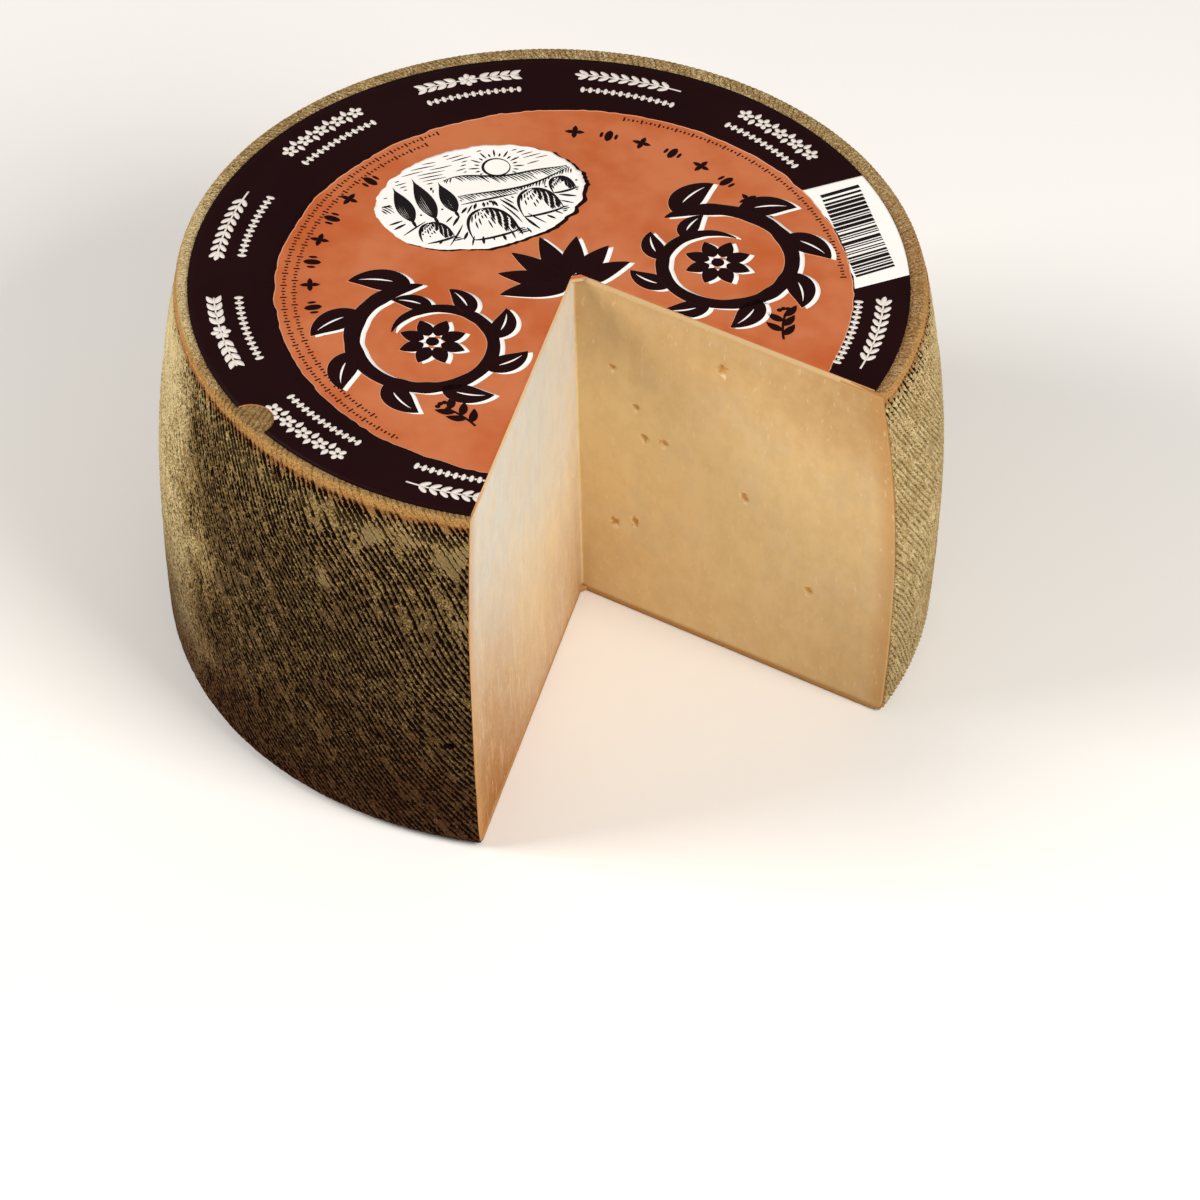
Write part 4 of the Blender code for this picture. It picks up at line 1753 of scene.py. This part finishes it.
    def fine_print(self) -> None:
        """Make the beaded lines inside the ring, the arcs of small figures and two sprigs."""
        centre = np.array(self.form.field_centre)
        figures: list[Patch] = []
        for radius, start, end in ((68.2, 96.0, 214.0), (65.6, 100.0, 206.0), (68.2, -18.0, 56.0)):
            for number in range(round((end - start) * DEGREE * radius / 1.15)):
                at = start * DEGREE + number * 1.15 / radius
                place = centre + radius * MM * heading(at)
                half = (0.75, 0.3, 0.45, 0.3)[number % 4] * MM
                tick = half * heading(at)
                figures.append(ribbon(np.array([place - tick, place + tick]), 0.2 * MM))
        for start, end in ((178.0, 118.0), (62.0, 2.0)):
            for number in range(8):
                at = (start + (end - start) * number / 7.0) * DEGREE
                place = self.arc_point(at, 58.2 * MM)
                if number % 2:
                    figures.append(grain_of(place, at, 4.4 * MM, 2.0 * MM))
                    for turn in (1.57, -1.57):
                        beside = place + 1.9 * MM * heading(at + turn)
                        figures.append(grain_of(beside, at, 2.2 * MM, 0.8 * MM))
                else:
                    for turn in (0.0, 1.57, 3.14, 4.71):
                        figures.append(leaf(place, at + turn, 2.5 * MM, 1.3 * MM))
        for place, mirror in (((-37.5 * MM, -46.0 * MM), 1.0), ((43.0 * MM, -43.5 * MM), -1.0)):
            figures += self.sprig(np.array(place), mirror)
        self.place("label_fine_print", figures, 2, self.aubergine)

    def sprig(self, base: Array, mirror: float) -> list[Patch]:
        """Return a small sprig with five leaves and three berries."""
        lean = QUARTER + mirror * 0.25
        t = np.linspace(0.0, 1.0, 12)[:, None]
        sag = np.column_stack((mirror * 2.0 * MM * t[:, 0] ** 2, 0.0 * t[:, 0]))
        spine = base + 9.0 * MM * t * heading(lean) - sag
        figures = [ribbon(spine, 0.3 * MM)]
        for number, place in enumerate(spine[2::2]):
            side = 1.0 if number % 2 else -1.0
            figures.append(leaf(place, lean + side * 0.95, 5.0 * MM, 2.1 * MM, -side * 0.4))
        for turn in (-0.5, 0.1, 0.7):
            figures.append(disc(spine[-1] + 1.9 * MM * heading(lean + turn), (0.65 * MM, 0.65 * MM), 4))
        return figures


@dataclass
class Ornaments:
    """The large figures of the label: two scrolling vines and a fan of leaves between them."""

    left: Place = (-36.0 * MM, -13.5 * MM)
    right: Place = (39.5 * MM, -11.0 * MM)
    fan: Place = (2.5 * MM, -7.0 * MM)
    outer_radius: float = 21.5 * MM
    inner_radius: float = 10.5 * MM
    flower_radius: float = 8.0 * MM

    def spiral(self, centre: Sequence[float], mirror: float, share: Array) -> Array:
        """Return places on a vine's stem.

        The stem turns about its centre through 2.35 half turns while its distance shrinks
        evenly from the outer radius to the inner one.
        """
        turn = 0.42 * math.pi + share * 2.35 * math.pi
        radius = self.outer_radius + (self.inner_radius - self.outer_radius) * share
        x = centre[0] + mirror * radius * np.cos(turn)
        return np.column_stack((x, centre[1] + radius * np.sin(turn)))

    def vine(self, centre: Sequence[float], mirror: float, grow: float) -> list[Patch]:
        """Return one scrolling vine: a tapering stem, leaves on its outside and a flower."""
        share = np.linspace(0.0, 1.0, 150)
        stem = self.spiral(centre, mirror, share)
        rough = 1.0 + 0.1 * SmoothNoise(61).at(share * 40.0, 0.0)
        ends = np.clip(np.minimum(share / 0.05, (1.0 - share) / 0.12), 0.02, 1.0) ** 0.6
        figures = [ribbon(stem, ((2.3 - 1.0 * share) * MM * rough + grow) * ends, 4)]
        for base, along, length in self.leaf_places(centre, mirror):
            figures.append(leaf(base, along, length, 0.5 * length, mirror * 0.9, grow))
        return figures + self.flower(np.asarray(centre), self.flower_radius, 8, grow)

    def leaf_places(self, centre: Sequence[float], mirror: float) -> Iterable[tuple[Array, float, float]]:
        """Yield the base, the direction and the length of each leaf of a vine."""
        for at in np.linspace(0.02, 0.84, 9):
            base, ahead = self.spiral(centre, mirror, np.array([at, at + 0.01]))
            along = math.atan2(*(ahead - base)[::-1]) - mirror * 0.95
            yield base, along, (16.0 - 6.5 * at) * MM

    def flower(self, middle: Array, radius: float, petals: int, grow: float) -> list[Patch]:
        """Return a flower of pointed petals round a small disc."""
        figures: list[Patch] = []
        for number in range(petals):
            turn = math.tau * number / petals
            base = middle + 0.28 * radius * heading(turn)
            figures.append(leaf(base, turn, 0.78 * radius, 0.5 * radius, 0.0, grow))
        heart = 0.2 * radius + grow
        return figures + [disc(middle, (heart, heart), 6)]

    def all(self, grow: float, shift: Place) -> list[Patch]:
        """Return every large figure, grown all round and shifted.

        Args:
            grow: How much wider each figure is on every side.
            shift: How far it is moved in the plane.

        Returns:
            The figures' patches.
        """
        figures = self.vine(self.left, 1.0, grow) + self.vine(self.right, -1.0, grow)
        for turn in (-66.0, -44.0, -22.0, 0.0, 22.0, 44.0, 66.0):
            length = (21.0 - abs(turn) * 0.05) * MM
            angle, bend = (90.0 + turn) * DEGREE, turn * 0.35 * DEGREE
            figures.append(leaf(self.fan, angle, length, 6.4 * MM, bend, grow))
        for patch in figures:
            patch.points = patch.points + np.array(shift)
        return figures

    def veins(self) -> list[Patch]:
        """Return the thin white vein of each large leaf."""
        figures: list[Patch] = []
        for centre, mirror in ((self.left, 1.0), (self.right, -1.0)):
            for base, along, length in self.leaf_places(centre, mirror):
                start = base + 0.3 * length * heading(along + mirror * 0.12)
                figures.append(leaf(start, along + mirror * 0.27, 0.52 * length, 0.5 * MM, mirror * 0.47))
        return figures


@dataclass
class Medallion:
    """The white oval and the engraved view in it: hills, fields, trees and a low sun.

    A tree or a haystack is the place of its foot, from the oval's middle, its width and its
    height, in millimetres.
    """

    label: LabelForm
    seed: int
    centre: Place = (-5.3 * MM, 34.0 * MM)
    half_width: float = 26.6 * MM
    half_height: float = 19.7 * MM
    far_ranges: tuple[int, int] = (0, 1)
    tree_places: tuple[Four, ...] = (
        (-19.0, -4.5, 4.6, 16.0),
        (-13.4, -5.4, 4.8, 18.5),
        (-7.8, -4.6, 4.2, 14.0),
    )
    stack_places: tuple[Four, ...] = (
        (-1.5, -15.0, 12.0, 10.5),
        (12.5, -11.0, 10.5, 9.5),
        (-15.5, -12.0, 8.0, 7.0),
        (20.5, -5.0, 6.0, 5.6),
    )

    def edge(self, grow: float, wave: float, shift: Place = (0.0, 0.0)) -> Patch:
        """Return the oval, with an edge that fine noise makes uneven."""
        patch = disc((0.0, 0.0), (1.0, 1.0), 56)
        angle = np.arctan2(patch.points[:, 1], patch.points[:, 0])
        radius = np.hypot(patch.points[:, 0], patch.points[:, 1])
        rough = SmoothNoise(67).at(angle * 9.0 + 60.0, 0.0)
        rough = rough + 0.5 * SmoothNoise(68).at(angle * 26.0 + 90.0, 0.0)
        rough = wave * rough * radius**4
        x = self.centre[0] + shift[0] + patch.points[:, 0] * (self.half_width + grow + rough)
        y = self.centre[1] + shift[1] + patch.points[:, 1] * (self.half_height + grow + rough)
        return Patch(np.column_stack((x, y)), patch.quads)

    def shadow(self) -> list[Patch]:
        """Return the dark oval that shows beyond the white one below and to the right."""
        return [self.edge(0.12 * MM, 0.5 * MM, (0.75 * MM, -0.75 * MM))]

    def ground(self) -> list[Patch]:
        """Return the white oval."""
        return [self.edge(0.0, 0.35 * MM)]

    def runs(self, line: Array, keep: Array) -> Iterable[Array]:
        """Yield the stretches of a line whose points are kept and lie in the oval."""
        x = (line[:, 0] - self.centre[0]) / (self.half_width - 1.3 * MM)
        y = (line[:, 1] - self.centre[1]) / (self.half_height - 1.3 * MM)
        inside = (keep & (x**2 + y**2 < 1.0)).astype(int)
        changes = np.flatnonzero(np.diff(np.concatenate(([0], inside, [0]))))
        for first, last in zip(changes[::2], changes[1::2]):
            if last - first >= 3:
                yield line[first:last]

    def skyline(self, number: int, x: Array) -> Array:
        """Return the height of a range of hills, the farthest first, above the oval's middle.

        Each is a level plus two cosine waves of its own length and phase.
        """
        level = (6.4, 2.6, -2.4)[number] * MM
        long = np.cos(x / MM / (7.5, 10.5, 15.0)[number] + (0.4, 2.4, 0.2)[number])
        short = np.cos(x / MM / (3.4, 4.6, 7.0)[number] + (1.1, 0.2, 2.0)[number])
        return level + ((2.5, 2.2, 1.1)[number] * long + (0.8, 0.5, 0.3)[number] * short) * MM

    def open_ground(self, line: Array, near: float = 0.0) -> Array:
        """Return which points of a line no tree or haystack in front hides."""
        clear = every_point(line)
        for x, y, width, height in (*self.tree_places, *self.stack_places):
            across = (line[:, 0] - self.centre[0] - x * MM) / (0.5 * width * MM + 0.5 * MM)
            up = (line[:, 1] - self.centre[1] - (y + 0.5 * height) * MM) / (0.5 * height * MM + 0.5 * MM)
            clear &= (across**2 + up**2 > 1.0) | (y > near)
        return clear

    def strokes(self, lines: Iterable[Line]) -> list[Patch]:
        """Return a tapering stroke for each line's visible stretches.

        Half a stroke's width is thickness / 2 * (0.25 + 0.75 * sin(pi t)) at the share t of it.
        """
        figures = []
        for line, keep, thickness in lines:
            for run in self.runs(line, keep):
                t = np.linspace(0.0, 1.0, len(run))
                figures.append(ribbon(run, 0.5 * thickness * (0.25 + 0.75 * np.sin(math.pi * t))))
        return figures

    def landscape(self) -> list[Patch]:
        """Return all the strokes of the view."""
        draw = random.Random(self.seed + 3)
        lines: list[Line] = []
        for figures in (self.hills(draw), self.sky(draw), self.furrows(), self.trees(draw)):
            lines += figures
        return self.strokes(lines + list(self.stacks(draw)))

    def spot(self, x: float, y: float) -> Array:
        """Return the place that lies x and y millimetres from the oval's middle."""
        return np.array(self.centre) + np.array([x * MM, y * MM])

    def clear_of(self, line: Array, ranges: Iterable[int], margin: float = 0.0) -> Array:
        """Return which points of a line stand above ranges of hills by a margin and are seen."""
        x, y = (line - np.array(self.centre)).T
        clear = every_point(line)
        for number in ranges:
            clear &= y > self.skyline(number, x) + margin
        return clear & self.open_ground(line)

    def hills(self, draw: random.Random) -> Iterable[Line]:
        """Yield the outline of each range and the hatching that falls from it."""
        for number in range(3):
            x = np.linspace(-self.half_width, self.half_width, 160)
            line = np.column_stack((x, self.skyline(number, x))) + np.array(self.centre)
            yield line, self.clear_of(line, range(number + 1, 3)), 0.7 * MM
            step = -self.half_width
            while step < self.half_width and number < 2:
                length = draw.uniform(1.4, 3.6) * MM
                t = np.linspace(0.0, 1.0, 14)
                here = self.skyline(number, np.array([step, step + 0.5 * MM]))
                lean = -1.0 if here[1] > here[0] else 1.0
                x = step + lean * 0.6 * length * t
                drop = here[0] - 0.2 * MM - length * (0.35 * t + 0.65 * t**2)
                line = np.column_stack((x, drop)) + np.array(self.centre)
                yield line, self.clear_of(line, range(number + 1, 3)), draw.uniform(0.3, 0.46) * MM
                step += draw.uniform(0.75, 1.0) * MM

    def sky(self, draw: random.Random) -> Iterable[Line]:
        """Yield the sun with its rays and the level lines of the sky."""
        sun = self.spot(8.0, 9.6)
        circle = arc(sun, 3.4 * MM, np.linspace(0.0, math.tau, 60))
        yield circle, self.clear_of(circle, self.far_ranges), 0.7 * MM
        for number in range(24):
            way = heading(math.tau * number / 24.0)
            reach = np.linspace(4.3, 7.0 if number % 2 else 5.6, 8)[:, None] * MM
            ray = sun + reach * way
            yield ray, self.clear_of(ray, self.far_ranges, 0.3 * MM), 0.5 * MM
        for level in np.arange(8.0, 18.5, 1.3):
            start = -24.0 + draw.uniform(0.0, 6.0)
            while start < 22.0:
                length = draw.uniform(3.0, 11.0)
                x = np.linspace(start, start + length, 24) * MM
                y = level * MM + 0.18 * MM * np.sin(x / (2.4 * MM))
                line = np.column_stack((x, y)) + np.array(self.centre)
                keep = self.clear_of(line, self.far_ranges, 0.7 * MM)
                keep &= np.hypot(*(line - sun).T) > 7.6 * MM
                yield line, keep, draw.uniform(0.3, 0.42) * MM
                start += length + draw.uniform(1.5, 5.0)

    def furrows(self) -> Iterable[Line]:
        """Yield the rows of the near field, which run together towards a far point."""
        far = self.spot(2.0, 3.5)
        for number in range(25):
            angle = (-170.0 + 160.0 * number / 24.0) * DEGREE
            t = np.linspace(0.1, 1.0, 60)
            sway = 0.3 * MM * np.sin(t * 13.0 + number)
            row = far + (t**1.3 * 34.0 * MM)[:, None] * heading(angle)
            line = row + np.column_stack((sway, 0.0 * sway))
            below = line[:, 1] - self.centre[1] < self.skyline(2, line[:, 0] - self.centre[0]) - 0.6 * MM
            gap = np.sin(t * 21.0 + number * 2.1) > -0.88
            yield line, below & gap & self.open_ground(line), (0.8 if number % 2 else 0.5) * MM

    def trees(self, draw: random.Random) -> Iterable[Line]:
        """Yield slim trees, each a bundle of upright strokes that bow out from its trunk."""
        for x, level, width, tall in self.tree_places:
            base = self.spot(x, level)
            for bow in np.linspace(-1.0, 1.0, 9):
                t = np.linspace(0.0, 1.0, 22)
                side = bow * 0.42 * width * np.sin(math.pi * t**0.8) * MM
                rise = (0.08 + 0.9 * t) * tall * (1.0 - 0.07 * abs(bow)) * MM
                line = base + np.column_stack((side, rise))
                solid = 0.62 if bow > 0.1 else 0.42
                yield line, every_point(line), draw.uniform(0.9, 1.1) * solid * MM
            trunk = base + np.column_stack((np.zeros(6), np.linspace(-0.06, 0.14, 6) * tall * MM))
            yield trunk, every_point(trunk), 0.9 * MM

    def stacks(self, draw: random.Random) -> Iterable[Line]:
        """Yield haystacks: a domed outline and straws that fall from the top, closer in the shade.

        A straw at the share b of the half width runs from the top to the ground by
        x = b * half width * sin(pi t / 2) and y = height * cos(pi t / 2)^0.8.
        """
        for x, level, width, tall in self.stack_places:
            base = self.spot(x, level)
            shares = np.concatenate((np.linspace(-1.0, 0.2, 7), np.linspace(0.3, 1.0, 10)))
            for number, share in enumerate(shares):
                is_edge = number in (0, len(shares) - 1)
                start = 0.0 if is_edge else draw.uniform(0.12, 0.4)
                end = 1.0 if is_edge or share > 0.3 else draw.uniform(0.6, 0.9)
                t = np.linspace(start, end, 26)
                across = share * 0.5 * width * np.sin(math.pi * t / 2.0)
                up = tall * np.maximum(np.cos(math.pi * t / 2.0), 0.0) ** 0.8
                line = base + np.column_stack((across, up)) * MM
                keep = every_point(line)
                if not is_edge:
                    keep = np.sin(t * 23.0 + number * 1.7) > -0.9
                yield line, keep, (0.85 if is_edge else 0.42 + 0.3 * max(share, 0.0)) * MM
            turn = np.linspace(math.pi, math.tau, 24)
            foot = base + np.column_stack((0.5 * width * np.cos(turn), 0.09 * tall * np.sin(turn))) * MM
            yield foot, every_point(foot), 0.8 * MM
            for step in range(3):
                ends = np.array([0.42 * width, 0.62 * width + 0.5 * step]) * MM
                drop = np.full(8, (-0.2 - 0.75 * step) * MM)
                line = base + np.column_stack((np.linspace(*ends, 8), drop))
                yield line, every_point(line), 0.5 * MM


@dataclass
class RindPlates:
    """The round plates of rind under the label and at the foot, inside the swept shells."""

    form: WheelForm
    label: LabelForm
    finish: RindFinish
    radius: float = 79.0 * MM

    def build(self) -> None:
        """Make both plates as trimmed discs one rind thick."""
        material = self.finish.material()
        thick = self.form.rind_thickness
        for name, low in (("rind_top", self.form.height - thick), ("rind_foot", 0.0)):
            sheet = disc((0.0, 0.0), (self.radius, self.radius), 120)
            data = self.plate(sheet, low, low + thick)
            settle(data.to_object(name, material), "cheese", Slot.RIND)

    def plate(self, sheet: Patch, low: float, high: float) -> MeshData:
        """Return a flat plate of rind, trimmed to the cut at its own level.

        Args:
            sheet: The plate's outline.
            low: Height of its lower face, 0 for the plate at the foot.
            high: Height of its upper face.

        Returns:
            The mesh's arrays, with the fields that the rind's finish reads.
        """
        level = WheelForm(apex_top=tuple(self.form.apex(np.array(low))))
        trimmer = LabelForm(level, centre=(0.0, 0.0), radius=1.0)
        slab = Slab(trimmer, [sheet], 0, overlap=0.0)
        data = slab.mesh(lambda place: np.full(len(place), low))
        half = len(data.points) // 2
        data.points[:half, 2] = high
        x, y = data.points[:, 0], data.points[:, 1]
        near = SmoothNoise(71).over(x, y, 3.0, 3.0)
        plain = 0.0 * near
        slope = PressedRind.slope
        if low == 0.0:
            inner_face = np.arange(len(near)) < half
            # Painted shade: the foot plate takes half of the side's darkening towards the foot.
            foot, depth = 0.5, np.where(inner_face, self.form.rind_thickness / MM, 0.0)
        else:
            foot, depth = 0.0, plain + PressedRind.covered_depth
        data.fields = {
            "lane": (x * math.sin(slope) - y * math.cos(slope)) / PressedRind.pitch,
            "along": (x * math.cos(slope) + y * math.sin(slope)) / MM,
            "cover": -0.1 + 0.2 * near,
            "tone": 0.5 + 0.3 * near,
            "stain": plain + 0.7,
            **dict.fromkeys(("bare", "band", "blush", "crest"), plain),
            "low": plain + foot,
            "depth": depth,
        }
        return data


@dataclass
class Studio:
    """The floor, the lights and the camera."""

    floor_half: float = 3.0
    camera_place: tuple[float, float, float] = (-0.38450, -0.95937, 0.95616)
    camera_right: tuple[float, float, float] = (0.92680, -0.37543, 0.00953)
    camera_up: tuple[float, float, float] = (0.24920, 0.63377, 0.73228)
    lens: float = 164.59
    sensor: float = 36.0
    far_clip: float = 20.0
    floor_gap: float = 0.2 * MM
    sky_tint: Four = (1.0, 0.985, 0.97, 1.0)
    sky_strength: float = 0.28
    lights: tuple[tuple[str, tuple[float, float, float], float], ...] = (
        ("key_right", (0.52, -1.02, 0.90), 17.0),
        ("side_left", (-1.25, 0.40, 0.95), 18.0),
    )
    light_size: float = 0.7
    light_tint: tuple[float, float, float] = (1.0, 0.98, 0.95)
    aim: tuple[float, float, float] = (0.0, 0.0, 0.05)

    def build(self) -> None:
        """Make everything round the wheel."""
        bpy.context.scene.view_settings.view_transform = "Standard"
        self.floor()
        self.camera()
        self.world()
        for name, place, power in self.lights:
            self.light(name, place, power)

    def floor(self) -> None:
        """Make the pale floor, just under the foot."""
        size, level = self.floor_half, -self.floor_gap
        corners = ((-size, -size), (size, -size), (size, size), (-size, size))
        mesh = bpy.data.meshes.new("studio_floor")
        mesh.from_pydata([(x, y, level) for x, y in corners], [], [(0, 1, 2, 3)])
        mesh.materials.append(FloorFinish().material())
        item = bpy.data.objects.new("studio_floor", mesh)
        bpy.context.scene.collection.objects.link(item)

    def camera(self) -> None:
        """Set the camera where the photograph was taken from."""
        data = bpy.data.cameras.new("photo_view")
        data.lens = self.lens
        data.sensor_width = self.sensor
        data.clip_end = self.far_clip
        item = bpy.data.objects.new("photo_view", data)
        right, up = Vector(self.camera_right), Vector(self.camera_up)
        back = right.cross(up)
        matrix = Matrix((right, up, back)).transposed().to_4x4()
        matrix.translation = Vector(self.camera_place)
        item.matrix_world = matrix
        bpy.context.scene.collection.objects.link(item)
        bpy.context.scene.camera = item

    def world(self) -> None:
        """Give the scene an even, pale sky."""
        world = bpy.data.worlds.new("studio_sky")
        world.use_nodes = True
        background = world.node_tree.nodes["Background"]
        background.inputs["Color"].default_value = self.sky_tint
        background.inputs["Strength"].default_value = self.sky_strength
        bpy.context.scene.world = world

    def light(self, name: str, place: Sequence[float], power: float) -> None:
        """Add a square soft light that points at the wheel.

        Args:
            name: The light's name.
            place: Where it stands.
            power: Its power in watts.
        """
        data = bpy.data.lights.new(name, "AREA")
        data.shape = "SQUARE"
        data.size = self.light_size
        data.energy = power
        data.color = self.light_tint
        item = bpy.data.objects.new(name, data)
        item.location = place
        way = Vector(self.aim) - Vector(place)
        item.rotation_euler = way.to_track_quat("-Z", "Y").to_euler()
        bpy.context.scene.collection.objects.link(item)


def main() -> None:
    """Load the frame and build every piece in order."""
    logging.basicConfig(level=logging.INFO, format="%(name)s %(message)s")
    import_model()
    form = WheelForm()
    label = LabelForm(form)
    rind = RindFinish()
    Studio().build()
    PressedRind(form, rind).build()
    RindPlates(form, label, rind).build()
    Paste(form, PasteFinish()).build()
    PaperLabel(label).build()


if __name__ == "__main__":
    main()
